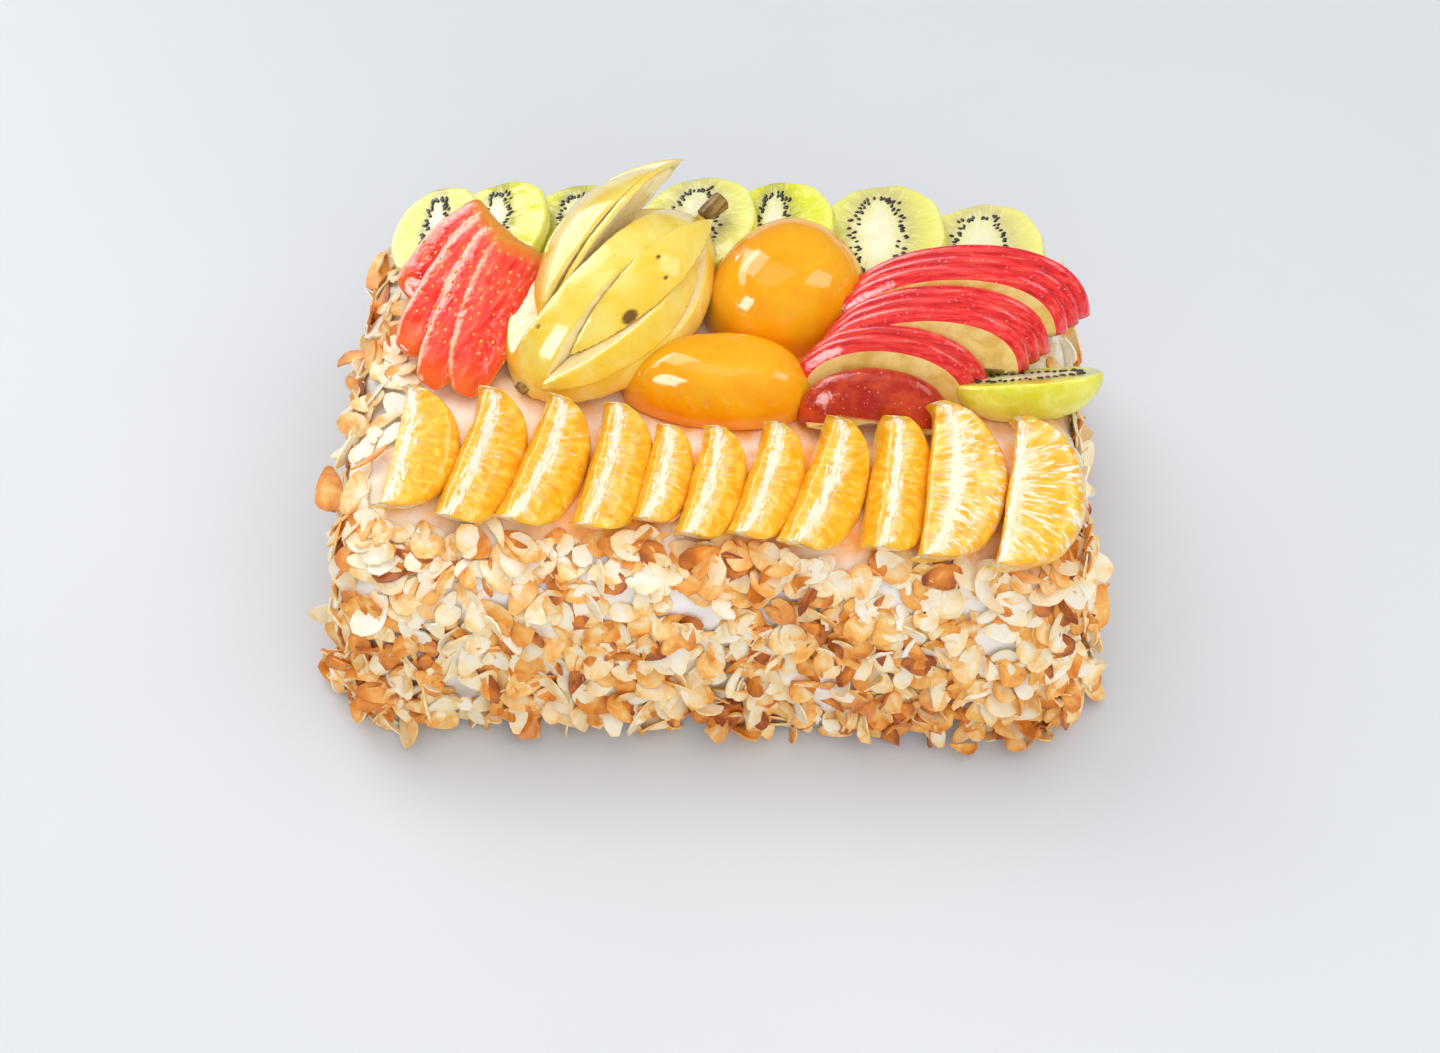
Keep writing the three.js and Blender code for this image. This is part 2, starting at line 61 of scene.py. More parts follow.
def signed_power(value, power):
    return np.sign(value) * np.abs(value) ** power


def round_angles(count):
    """Angles of points spaced evenly round a circle."""
    return np.arange(count) * 2 * np.pi / count


def based(x, z, origin=(0, 0, 0)):
    """4 x 4 matrix that carries local x and z to two directions at right angles."""
    matrix = np.eye(4)
    matrix[:3, 0], matrix[:3, 1], matrix[:3, 2], matrix[:3, 3] = x, np.cross(z, x), z, origin
    return matrix


def frame_of(origin, along_x, near_y):
    """4 x 4 matrix that carries local x to one direction, and local y near another."""
    x = unit(along_x)
    return based(x, unit(np.cross(x, near_y)), origin)


def moved(x, y, z):
    matrix = np.eye(4)
    matrix[:3, 3] = x, y, z
    return matrix


def turned(angle, axis):
    return np.array(Matrix.Rotation(angle * DEG, 4, axis))


def carried(matrix, points):
    return points @ matrix[:3, :3].T + matrix[:3, 3]


CELL_PRIMES, SEED_STEP = np.array([73856093, 19349663, 83492791], np.int64), 265443576
STIRS = ((13, 1274126177), (16, 668265263))


def hashed(cells, seed):
    """Even random numbers from -1 to 1, one for each whole-number cell."""
    mixed = cells @ CELL_PRIMES + seed * SEED_STEP
    for shift, factor in STIRS:
        mixed = (mixed ^ (mixed >> shift)) * factor & 0xFFFFFFFF
    return ((mixed >> 8) & 0xFFFF) / 32767.5 - 1


def bumps(points, size, seed):
    """Smooth noise from -1 to 1 whose bumps are about size across."""
    scaled = np.asarray(points) / size + 100.5
    cell = np.floor(scaled).astype(np.int64)
    part = scaled - cell
    part = part * part * (3 - 2 * part)
    total = np.zeros(len(cell))
    for corner in itertools.product((0, 1), repeat=3):
        share = np.prod(np.where(corner, part, 1 - part), axis=1)
        total += share * hashed(cell + corner, seed)
    return total


def closed_loft(rings):
    """Points and outward faces of a closed body through rings of equal size."""
    rings = np.asarray(rings, float)
    count, sides = rings.shape[:2]
    points = np.vstack([rings.reshape(-1, 3), rings[0].mean(0), rings[-1].mean(0)])
    around = np.arange(sides)
    after = (around + 1) % sides
    faces = []
    for ring in range(count - 1):
        low, high = ring * sides, (ring + 1) * sides
        faces += np.stack([low + around, low + after, high + after, high + around], 1).tolist()
    first, last = count * sides, count * sides + 1
    end = (count - 1) * sides
    faces += [[first, after[i], around[i]] for i in range(sides)]
    faces += [[last, end + around[i], end + after[i]] for i in range(sides)]
    inside = points.mean(0)
    volume = sum(
        np.dot(points[f[0]] - inside, np.cross(points[f[1]] - inside, points[f[2]] - inside))
        for f in faces
    )
    return points, faces if volume > 0 else [face[::-1] for face in faces]


def mesh_object(name, points, faces):
    mesh = bpy.data.meshes.new(name)
    mesh.from_pydata(np.asarray(points).tolist(), [], faces)
    mesh.update()
    obj = bpy.data.objects.new(name, mesh)
    bpy.context.scene.collection.objects.link(obj)
    return obj


def applied(obj):
    """The object with its modifiers worked into its mesh."""
    bpy.context.view_layer.update()
    evaluated = obj.evaluated_get(bpy.context.evaluated_depsgraph_get())
    mesh = bpy.data.meshes.new_from_object(evaluated)
    obj.modifiers.clear()
    obj.data = mesh
    return obj


def coordinates(obj):
    places = np.empty(len(obj.data.vertices) * 3)
    obj.data.vertices.foreach_get("co", places)
    return places.reshape(-1, 3)


def normals(obj):
    directions = np.empty(len(obj.data.vertices) * 3)
    obj.data.vertex_normals.foreach_get("vector", directions)
    return directions.reshape(-1, 3)


def reshaped(obj, points):
    obj.data.vertices.foreach_set("co", np.asarray(points, float).ravel())
    obj.data.update()


def swollen(obj, swell):
    """Moves each point of the surface outwards by its own distance."""
    reshaped(obj, coordinates(obj) + normals(obj) * swell[:, None])


def tree_of(points):
    tree = KDTree(len(points))
    for index, point in enumerate(points):
        tree.insert(point, index)
    tree.balance()
    return tree


def marked(obj, **marks):
    """Stores numbers or vectors on the points, for materials to read."""
    for name, values in marks.items():
        values = np.asarray(values, float)
        kind = "FLOAT" if values.ndim == 1 else "FLOAT_VECTOR"
        layer = obj.data.attributes.new(name, kind, "POINT")
        layer.data.foreach_set("value" if values.ndim == 1 else "vector", values.ravel())


def remeshed(obj, voxel, smooth):
    """Even fine mesh over the object's surface, with its sharp edges just softened."""
    fine = obj.modifiers.new("fine", "REMESH")
    fine.mode, fine.voxel_size = "VOXEL", voxel
    soft = obj.modifiers.new("soft", "SMOOTH")
    soft.factor, soft.iterations = 0.5, smooth
    return applied(obj)


def worked(obj, steps):
    """Joins, cuts or trims a shape by one tool after another; the tools are used up."""
    for operation, tool in steps:
        step = obj.modifiers.new("step", "BOOLEAN")
        step.operation, step.solver, step.object = operation, "EXACT", tool
    applied(obj)
    for _, tool in steps:
        bpy.data.objects.remove(tool)


# Points of all the fruit, which the cream and the flakes are fitted to
fruit_points = []


def placed(obj, matrix, material, slot, *nodes, fruit=True, crease=None):
    points = carried(matrix, coordinates(obj)) + SHIFT
    if fruit:
        fruit_points.append(points)
    reshaped(obj, points * MM)
    obj.data.materials.clear()
    obj.data.materials.append(material)
    obj.data.shade_smooth()
    if crease:
        obj.data.set_sharp_from_angle(angle=crease * DEG)
    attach(obj, "root")
    if nodes:
        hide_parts(*nodes)


# Where the fruit is set out: the stem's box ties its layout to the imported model

PEAR_LENGTH, PEAR_RADIUS = 88, 30
CREAM_TOP = 88
PEAR_CALYX = np.array([-65, -8, CREAM_TOP + 1])
PEAR_AXIS = np.array([60, 68, 15])
PEAR_PLACE = frame_of(PEAR_CALYX, [PEAR_AXIS[1], -PEAR_AXIS[0], 0], PEAR_AXIS)
STEM_LENGTH, STEM_RADIUS, STEM_SPREAD, STEM_RISE, STEM_GAP = 9, 2.8, 0.6, 3, 0.3


def stem_rings(sides, heights, rough=0.0):
    """The stem on the pear's axis, from its foot at height 0 to its end at height 1."""
    turn = round_angles(sides)
    ridges = rough * np.sin(9 * turn) * 0.6
    rings = []
    for t in heights:
        radius = STEM_RADIUS + STEM_SPREAD * t + rough * np.sin(5 * turn + 3 * t) + ridges
        x, y = radius * np.sin(turn), PEAR_LENGTH + STEM_GAP + STEM_LENGTH * t + 0 * turn
        rings.append(np.stack([x, y, STEM_RISE + radius * np.cos(turn)], 1))
    return np.array(rings)


stem_points = carried(PEAR_PLACE, stem_rings(36, [0, 1]).reshape(-1, 3))
stem_low, stem_high = (np.array(corner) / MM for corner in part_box("pear_stem"))
SHIFT = (stem_low + stem_high) / 2 - (stem_points.min(0) + stem_points.max(0)) / 2


# Camera and light

AIM = np.array([-0.7, 3.4, 0.0]) + SHIFT
VIEW_DISTANCE, VIEW_RISE, VIEW_TURN = 772.0, 54.3, 1.5
LENS, SENSOR = 52.5, 36.0

rise, turn = VIEW_RISE * DEG, VIEW_TURN * DEG
back = np.array([math.sin(turn) * math.cos(rise), -math.cos(turn) * math.cos(rise), math.sin(rise)])
right = np.array([math.cos(turn), math.sin(turn), 0])
camera_data = bpy.data.cameras.new("photo_view")
camera_data.lens, camera_data.sensor_width = LENS, SENSOR
camera = bpy.data.objects.new("photo_view", camera_data)
bpy.context.scene.collection.objects.link(camera)
camera.matrix_world = Matrix(based(right, back, (AIM + back * VIEW_DISTANCE) * MM).tolist())
bpy.context.scene.camera = camera
bpy.context.scene.view_settings.view_transform = "Standard"


def soft_light(name, place, aim_height, size, power, mirrored=True, lights=True):
    """Area light; it can stay out of the glaze's reflections, or be seen only in them."""
    data = bpy.data.lights.new(name, "AREA")
    data.shape = "SQUARE" if mirrored else "DISK"
    data.size, data.energy = size, power
    lamp = bpy.data.objects.new(name, data)
    lamp.visible_glossy, lamp.visible_diffuse = mirrored, lights
    bpy.context.scene.collection.objects.link(lamp)
    away = unit(np.subtract(place, (0, 0, aim_height)))
    lamp.matrix_world = Matrix(based(unit(np.cross(Z, away)), away, place).tolist())


soft_light("window_left_back", (-1.45, 1.45, 2.5), 0.06, 1.9, 33.0)
soft_light("soft_top", (0.4, -0.1, 1.7), 0.06, 2.6, 18.0, mirrored=False)
soft_light("front_fill", (0.3, -1.3, 0.8), 0.05, 1.7, 8.5, mirrored=False)
soft_light("sheen_left_back", (-1.1, 0.68, 0.65), 0.09, 1.3, 18.0, lights=False)
soft_light("sheen_left_front", (-0.72, -0.64, 0.62), 0.09, 0.45, 5.0, lights=False)
soft_light("sheen_top", (-0.1, 0.05, 1.5), 0.09, 0.8, 1.3, lights=False)
soft_light("sheen_right", (0.85, 0.02, 0.95), 0.09, 0.5, 1.8, lights=False)

# The studio's even light is weaker in the glaze's reflections than on the cake
STUDIO_LIGHT, MIRRORED_STUDIO_LIGHT, STUDIO_TINT = 0.42, 0.20, (0.93, 0.95, 1, 1)
world = bpy.data.worlds.new("studio")
world.use_nodes = True
studio = world.node_tree
background = studio.nodes["Background"].inputs
background["Color"].default_value = STUDIO_TINT
path, strength = studio.nodes.new("ShaderNodeLightPath"), studio.nodes.new("ShaderNodeMath")
strength.operation = "MULTIPLY_ADD"
strength.inputs[1].default_value = MIRRORED_STUDIO_LIGHT - STUDIO_LIGHT
strength.inputs[2].default_value = STUDIO_LIGHT
studio.links.new(path.outputs["Is Glossy Ray"], strength.inputs[0])
studio.links.new(strength.outputs[0], background["Strength"])
bpy.context.scene.world = world


# Materials: colours are given as the 0 to 255 values of a screen


def linear(red, green, blue):
    return tuple(
        v / 12.92 if v <= 0.04045 else ((v + 0.055) / 1.055) ** 2.4
        for v in (red / 255, green / 255, blue / 255)
    )


class Value:
    """A number, vector or colour inside a tree; sums and products add their nodes."""

    def __init__(self, plan, socket):
        self.plan, self.socket = plan, socket

    def __add__(self, other):
        return self.plan.math("ADD", self, other)

    def __sub__(self, other):
        return self.plan.math("SUBTRACT", self, other)

    def __rsub__(self, other):
        return self.plan.math("SUBTRACT", other, self)

    def __mul__(self, other):
        return self.plan.math("MULTIPLY", self, other)

    def __pow__(self, other):
        return self.plan.math("POWER", self, other)

    def __rtruediv__(self, other):
        return self.plan.math("DIVIDE", other, self)


class Plan:
    """A tree of nodes, with short calls for the nodes that the finishes use."""

    def __init__(self, tree):
        self.tree = tree

    def node(self, kind, inputs=(), **settings):
        made = self.tree.nodes.new(kind)
        for name, value in settings.items():
            setattr(made, name, value)
        for key, value in dict(inputs).items():
            self.feed(made.inputs[key], value)
        return made

    def result(self, output, kind, inputs=(), **settings):
        return Value(self, self.node(kind, inputs, **settings).outputs[output])

    def feed(self, socket, value):
        if isinstance(value, Value):
            self.tree.links.new(value.socket, socket)
        elif isinstance(value, tuple) and socket.type == "RGBA":
            socket.default_value = (*linear(*value), 1)
        else:
            socket.default_value = value

    def mark(self, name):
        """A vector that the piece's points carry."""
        return self.result("Vector", "ShaderNodeAttribute", attribute_name=name)

    def number(self, name):
        """A number that the piece's points carry."""
        return self.result("Fac", "ShaderNodeAttribute", attribute_name=name)

    def place(self):
        """Place on the finished piece, in metres."""
        return self.result("Object", "ShaderNodeTexCoord")

    def math(self, operation, a, b):
        return self.result(0, "ShaderNodeMath", {0: a, 1: b}, operation=operation)

    def split(self, vector):
        made = self.node("ShaderNodeSeparateXYZ", {0: vector})
        return [Value(self, socket) for socket in made.outputs]

    def join(self, x, y, z):
        return self.result(0, "ShaderNodeCombineXYZ", {0: x, 1: y, 2: z})

    def stretch(self, vector, x, y, z):
        inputs = {0: vector, 1: (x, y, z)}
        return self.result(0, "ShaderNodeVectorMath", inputs, operation="MULTIPLY")

    def noise(self, vector, scale, detail=3.0, roughness=0.55, distortion=0.0):
        inputs = {"Vector": vector, "Scale": scale, "Detail": detail}
        inputs.update({"Roughness": roughness, "Distortion": distortion})
        return self.result(0, "ShaderNodeTexNoise", inputs)

    def cells(self, vector, scale, feature="F1"):
        inputs = {"Vector": vector, "Scale": scale}
        return self.result("Distance", "ShaderNodeTexVoronoi", inputs, feature=feature)

    def steps(self, value, low, high, out_low=0.0, out_high=1.0):
        """Smooth change from one value to another as the input passes from low to high."""
        inputs = {"Value": value, "From Min": low, "From Max": high}
        inputs.update({"To Min": out_low, "To Max": out_high})
        return self.result(0, "ShaderNodeMapRange", inputs, interpolation_type="SMOOTHSTEP")

    def mix(self, share, a, b):
        """Colour a, turned to b by a share from 0 to 1."""
        return self.result(2, "ShaderNodeMix", {0: share, 6: a, 7: b}, data_type="RGBA")

    def ramp(self, value, *stops):
        made = self.node("ShaderNodeValToRGB", {0: value})
        elements = made.color_ramp.elements
        while len(elements) < len(stops):
            elements.new(0.5)
        for element, (place, colour) in zip(elements, stops):
            element.position = place
            element.color = (*linear(*colour), 1)
        return Value(self, made.outputs[0])

    def bump(self, height, strength, distance, under=None):
        inputs = {"Height": height, "Strength": strength, "Distance": distance}
        if under:
            inputs["Normal"] = under
        return self.result(0, "ShaderNodeBump", inputs)

    def named_outputs(self, node):
        return {socket.name: Value(self, socket) for socket in node.outputs}

    def group(self, tree, **inputs):
        made = self.node("ShaderNodeGroup", node_tree=tree)
        for name, value in inputs.items():
            self.feed(made.inputs[name.replace("_", " ")], value)
        return self.named_outputs(made)

    def mottled(self, place, patch_size, tone, other):
        """Colour that drifts between two tones in patches."""
        inputs = {"Place": place, "Patch_Size": patch_size, "Tone": tone, "Other_Tone": other}
        return self.group(MOTTLE, **inputs)["Color"]


class Look(Plan):
    """A material and its tree of nodes."""

    def __init__(self, name):
        self.material = bpy.data.materials.new(name)
        self.material.use_nodes = True
        super().__init__(self.material.node_tree)
        self.shader = self.tree.nodes["Principled BSDF"]

    def set(self, **values):
        for name, value in values.items():
            self.feed(self.shader.inputs[name.replace("_", " ")], value)

    def translucent(self, weight, red, green, blue, scale=0.003):
        self.set(Subsurface_Weight=weight, Subsurface_Radius=(red, green, blue))
        self.set(Subsurface_Scale=scale)

    def glazed(self, colour, place, run_size, roughness, bump, under, coat):
        """Finishes a fruit: its colour, and a wet coat with uneven runs over its own relief."""
        glaze = self.group(GLAZE, Place=place, Run_Size=run_size, Roughness=roughness)
        normal = self.bump(glaze["Height"], bump, GLAZE_RELIEF, under)
        self.set(Base_Color=colour, Roughness=glaze["Roughness"], Normal=normal)
        self.set(Coat_Weight=coat, Coat_Roughness=0.06, Specular_IOR_Level=0.5)
        return self.material


GLAZE_RELIEF = 0.0012
COLOUR, NUMBER, VECTOR = "NodeSocketColor", "NodeSocketFloat", "NodeSocketVector"


def shader_group(name, inputs, outputs):
    tree = bpy.data.node_groups.new(name, "ShaderNodeTree")
    for label, kind, value in inputs:
        made = tree.interface.new_socket(label, in_out="INPUT", socket_type=kind)
        if value is not None:
            made.default_value = value
    for label, kind in outputs:
        tree.interface.new_socket(label, in_out="OUTPUT", socket_type=kind)
    look = Plan(tree)
    given = look.named_outputs(look.node("NodeGroupInput"))
    return look, given, look.node("NodeGroupOutput").inputs


def build_glaze():
    """Uneven jelly glaze over fruit: its roughness, and the height of its runs and beads."""
    look, given, out = shader_group(
        "fruit_glaze",
        [("Place", VECTOR, None), ("Run Size", NUMBER, 6.0), ("Roughness", NUMBER, 0.12)],
        [("Roughness", NUMBER), ("Height", NUMBER)],
    )
    size = 1.0 / given["Run Size"]
    runs = look.noise(given["Place"], size, 2.0, 0.45, 0.6)
    beads = look.noise(given["Place"], size * 4.5, 2.0, 0.5)
    look.feed(out["Height"], runs + beads * 0.18)
    look.feed(out["Roughness"], given["Roughness"] + look.steps(runs, 0.45, 0.75, 0.0, 0.12))
    return look.tree


def build_mottle():
    """Flesh or skin colour that drifts between two tones, with a finer grain."""
    look, given, out = shader_group(
        "mottled_tone",
        [
            ("Place", VECTOR, None),
            ("Patch Size", NUMBER, 8.0),
            ("Tone", COLOUR, None),
            ("Other Tone", COLOUR, None),
        ],
        [("Color", COLOUR)],
    )
    patches = look.noise(given["Place"], 1.0 / given["Patch Size"], 4.0, 0.6, 0.4)
    share = look.steps(patches, 0.35, 0.7)
    look.feed(out["Color"], look.mix(share, given["Tone"], given["Other Tone"]))
    return look.tree


GLAZE, MOTTLE = build_glaze(), build_mottle()


def cream_material():
    """Local marks: one says how near the fruit a point is, for fruit juice soaked in and for a
    painted orange glow of light through the fruit; local = place on the cake.
    """
    look = Look("whipped_cream")
    place = look.mark("local")
    stain = look.noise(place, 0.09, 3.0, 0.6)
    # Near the fruit the cream turns orange: partly real juice and glaze soaked in, partly a painted
    # glow of light through the fruit
    tint = look.number("juice") * look.steps(stain, 0.3, 0.62, 0.35, 1.0)
    plain = look.mottled(place, 14.0, (255, 253, 248), (254, 248, 236))
    to_right = look.steps(look.split(place)[0], -75.0, -35.0)
    soaked_and_glowing = look.mix(to_right, (255, 214, 164), (255, 178, 80))
    normal = look.bump(look.noise(place, 0.7, 5.0, 0.6), 0.3, 0.0008)
    look.set(Base_Color=look.mix(tint, plain, soaked_and_glowing), Roughness=0.62 - tint * 0.38)
    look.set(Normal=normal, Specular_IOR_Level=0.4)
    look.translucent(0.15, 1.0, 0.8, 0.6, 0.002)
    return look.material


def almond_material():
    """Local marks: leaf = place on the flake from -1 to 1; toast = how brown it is."""
    look = Look("toasted_almond")
    toast = look.number("toast")
    along, across, through = look.split(look.mark("leaf"))
    shifted = look.join(along + toast * 137.0, across + toast * 291.0, through)
    patch = look.noise(shifted, 0.8, 3.0, 0.6, 0.5)
    rim = along * along + across * across
    browned = (patch - 0.5) * 1.1 + rim * 0.2 + toast * 0.85
    colour = look.ramp(
        browned,
        (0.08, (254, 246, 226)),
        (0.28, (254, 230, 180)),
        (0.46, (252, 192, 100)),
        (0.66, (234, 142, 44)),
        (1.0, (150, 62, 24)),
    )
    fibres = look.noise(look.stretch(shifted, 1.2, 9.0, 4.0), 1.6, 3.0, 0.6)
    colour = look.mix(look.steps(fibres, 0.5, 0.8, 0.0, 0.22), colour, (236, 178, 104))
    normal = look.bump(fibres, 0.2, 0.0004)
    look.set(Base_Color=colour, Roughness=look.steps(fibres, 0.2, 0.8, 0.38, 0.56))
    look.set(Normal=normal, Specular_IOR_Level=0.45)
    look.translucent(0.12, 1.0, 0.7, 0.35, 0.001)
    return look.material


def kiwi_material():
    """Local marks: disc = place across the slice from -1 to 1 and distance from its core,
    face = 1 on its cut face, ripe = how far its flesh has yellowed."""
    look = Look("kiwi_flesh")
    place = look.mark("local")
    across, along, core = look.split(look.mark("disc"))
    radius = (across * across + along * along) ** 0.5
    angle = look.math("ARCTAN2", along, across)
    rays = look.noise(look.join(angle * 5.5, radius * 1.3, 0.0), 2.4, 4.0, 0.6)
    ragged = core + look.steps(rays, 0.3, 0.7, -0.06, 0.06)
    flesh = look.ramp(
        ragged,
        (0.18, (252, 248, 214)),
        (0.32, (240, 240, 172)),
        (0.42, (192, 188, 84)),
        (0.58, (222, 220, 64)),
        (0.84, (238, 242, 64)),
        (1.0, (246, 248, 128)),
    )
    ring = look.steps(ragged, 0.3, 0.42) * look.steps(ragged, 0.98, 0.7)
    flesh = look.mix(look.steps(rays, 0.52, 0.72, 0.0, 0.7) * ring, flesh, (240, 242, 168))
    flesh = look.mix(look.number("ripe"), flesh, (254, 240, 196))
    rim = look.mottled(place, 6.0, (230, 226, 60), (248, 242, 122))
    colour = look.mix(look.steps(look.number("face"), 0.35, 0.65), rim, flesh)
    look.translucent(0.25, 0.7, 1.0, 0.2)
    return look.glazed(colour, place, 5.0, 0.14, 0.3, look.bump(rays, 0.3, 0.0005), 0.55)


def seed_material(name, tone, other):
    look = Look(name)
    place = look.place()
    rough = look.steps(look.noise(place, 3000.0, 2.0), 0.3, 0.7, 0.22, 0.4)
    colour = look.mottled(place, 0.002, tone, other)
    look.set(Base_Color=colour, Roughness=rough, Coat_Weight=0.5)
    return look.material


def strawberry_material():
    """Local marks: margin = 1 along the slices' edges, tip and calyx = 1 at their two ends,
    pit = 1 round each seed."""
    look = Look("strawberry_flesh")
    place = look.mark("local")
    streaks = look.noise(look.stretch(place, 0.07, 0.4, 0.4), 1.0, 4.0, 0.6, 0.3)
    # The pale end of the streaks is partly the flesh's own pale streaks and partly painted
    # highlight, widened to stand for the glaze's wet sheen
    colour = look.ramp(
        streaks,
        (0.28, (222, 26, 18)),
        (0.44, (248, 48, 28)),
        (0.57, (255, 80, 48)),
        (0.74, (255, 148, 116)),
    )
    colour = look.mix(look.number("tip"), colour, (255, 120, 26))
    margin = look.number("margin") * look.steps(streaks, 0.35, 0.6, 0.35, 1.0)
    colour = look.mix(margin * 0.75, colour, (255, 178, 84))
    colour = look.mix(look.number("calyx"), colour, (226, 150, 48))
    colour = look.mix(look.number("pit") * 0.2, colour, (255, 170, 90))
    dimples = look.bump(look.noise(place, 0.4, 2.0, 0.5), 0.2, 0.001)
    look.translucent(0.2, 1.0, 0.25, 0.12)
    return look.glazed(colour, place, 6.5, 0.08, 1.0, dimples, 1.0)


def pear_material():
    """Local marks: skin = 1 on the skin, 0 on cut flesh; blemish = 1 on its dark spots;
    local = place on the whole pear."""
    look = Look("pear_skin_and_flesh")
    place = look.mark("local")
    tone = look.mottled(place, 16.0, (255, 214, 62), (255, 234, 126))
    speckle = look.steps(look.cells(place, 0.32), 0.13, 0.06)
    speckle = speckle * look.steps(look.noise(place, 0.1), 0.5, 0.6)
    tone = look.mix(speckle * 0.5, tone, (204, 150, 30))
    neck = look.steps(look.split(place)[1], 74.0, 88.0)
    tone = look.mix(neck * 0.6, tone, (222, 184, 60))
    blemish = look.number("blemish") * look.steps(look.noise(place, 0.9), 0.2, 0.45)
    tone = look.mix(blemish * 0.95, tone, (112, 70, 26))
    fibres = look.noise(look.stretch(place, 0.5, 0.12, 0.5), 1.0, 4.0, 0.6)
    flesh = look.ramp(
        fibres,
        (0.3, (255, 226, 150)),
        (0.6, (255, 238, 190)),
        (0.8, (255, 248, 222)),
    )
    colour = look.mix(look.steps(look.number("skin"), 0.3, 0.7), flesh, tone)
    grain = look.bump(look.noise(place, 1.6, 3.0), 0.12, 0.0004)
    look.translucent(0.15, 1.0, 0.75, 0.3)
    return look.glazed(colour, place, 9.0, 0.1, 0.4, grain, 0.9)


def peach_material():
    look = Look("peach_flesh")
    place = look.mark("local")
    tone = look.mottled(place, 20.0, (255, 168, 8), (255, 186, 24))
    veins = look.noise(look.stretch(place, 0.03, 0.25, 0.25), 1.0, 4.0, 0.6)
    tone = look.mix(look.steps(veins, 0.55, 0.8, 0.0, 0.35), tone, (255, 206, 70))
    low = look.steps(look.split(place)[2], 9.0, 0.0)
    tone = look.mix(low * 0.35, tone, (250, 134, 4))
    look.translucent(0.2, 1.0, 0.55, 0.1, 0.004)
    return look.glazed(tone, place, 14.0, 0.08, 0.35, None, 0.7)


def apple_material():
    """Local marks: skin = 1 on the skin; dull = how brown the slice is; arc = place along,
    through and out from the slice's skin."""
    look = Look("apple_skin_and_flesh")
    place, arc = look.mark("local"), look.mark("arc")
    dull = look.number("dull")
    streaks = look.noise(look.stretch(arc, 0.07, 0.9, 0.8), 1.0, 4.0, 0.65, 0.2)
    red = look.ramp(
        streaks,
        (0.32, (190, 22, 34)),
        (0.50, (244, 46, 50)),
        (0.64, (250, 84, 72)),
        (0.78, (253, 166, 118)),
    )
    red = look.mix(dull, red, look.mottled(place, 7.0, (158, 34, 12), (206, 82, 34)))
    dots = look.steps(look.cells(arc, 0.42), 0.16, 0.08)
    red = look.mix(dots * 0.55, red, (244, 190, 170))
    flesh = look.mottled(place, 9.0, (248, 218, 140), (226, 178, 84))
    colour = look.mix(look.steps(look.number("skin"), 0.45, 0.75), flesh, red)
    grain = look.bump(look.noise(place, 1.4, 3.0), 0.1, 0.0004)
    look.translucent(0.1, 1.0, 0.6, 0.3)
    return look.glazed(colour, place, 8.0, 0.1, 0.6, grain, 0.8 - dull * 0.6)


def mandarin_material():
    """Local marks: pith = 1 along the band of pith, flat = 1 on the two flat faces, veined =
    how far the white strands run, fan = bearing and distance from the fruit's middle."""
    look = Look("mandarin_segment")
    place = look.mark("local")
    pith, flat = look.number("pith"), look.number("flat")
    angle, radius, side = look.split(look.mark("fan"))
    rays = look.join(angle * 7.0, radius * 0.16, side)
    sacs = look.noise(rays, 1.5, 3.0, 0.55, 0.5)
    flesh = look.ramp(
        sacs,
        (0.30, (255, 168, 14)),
        (0.50, (255, 192, 34)),
        (0.70, (255, 218, 84)),
    )
    outline = look.steps(look.cells(rays, 1.3, "DISTANCE_TO_EDGE"), 0.11, 0.0)
    outline = outline * look.steps(pith, 0.0, 0.7, 0.1, 0.5)
    flesh = look.mix(outline * flat, flesh, (255, 224, 140))
    strands = look.noise(look.join(angle * 13.0, radius * 0.1, side), 1.6, 4.0, 0.65, 0.5)
    reach = pith ** 2.0 * 0.2 + look.number("veined")
    web = look.steps(strands + reach, 0.63, 0.75)
    ragged = look.noise(look.stretch(place, 0.22, 0.9, 0.9), 1.0, 4.0, 0.65, 0.9)
    band = look.steps(pith + ragged * 1.7, 1.5, 1.72)
    web = look.math("MAXIMUM", web * flat, band)
    colour = look.mix(web * 0.9, flesh, (255, 246, 222))
    relief = look.bump(sacs + web * 0.5, 0.35, 0.0008)
    look.translucent(0.22, 1.0, 0.5, 0.1, 0.004)
    return look.glazed(colour, place, 7.0, 0.14, 0.25, relief, 0.6)


def bark_material():
    look = Look("pear_stem_wood")
    place = look.mark("local")
    tone = look.mottled(look.stretch(place, 1.0, 0.3, 1.0), 1.6, (104, 76, 34), (190, 156, 76))
    grain = look.noise(look.stretch(place, 1.6, 0.3, 1.6), 1.0, 4.0)
    look.set(Base_Color=tone, Roughness=look.steps(grain, 0.3, 0.7, 0.45, 0.7))
    look.set(Normal=look.bump(grain, 0.6, 0.001))
    return look.material


def floor_material():
    look = Look("pale_table")
    tone = look.mottled(look.place(), 0.4, FLOOR_TONE, OTHER_FLOOR_TONE)
    look.set(Base_Color=tone, Roughness=0.6)
    return look.material


FLOOR_TONE, OTHER_FLOOR_TONE = (215.1, 217.8, 221.9), (217.8, 220.6, 224.6)
CREAM, ALMOND, KIWI = cream_material(), almond_material(), kiwi_material()
KIWI_SEED = seed_material("kiwi_seed", (30, 22, 16), (64, 46, 30))
BERRY_SEED = seed_material("strawberry_seed", (246, 196, 84), (230, 160, 60))
STRAWBERRY, PEAR, PEACH = strawberry_material(), pear_material(), peach_material()
APPLE, MANDARIN, BARK = apple_material(), mandarin_material(), bark_material()


# Floor

floor = mesh_object("table", [(-4, -4, 0), (4, -4, 0), (4, 4, 0), (-4, 4, 0)], [[0, 1, 2, 3]])
floor.data.materials.append(floor_material())


# Things set out by the hundred: one geometry tree instances small shapes on points


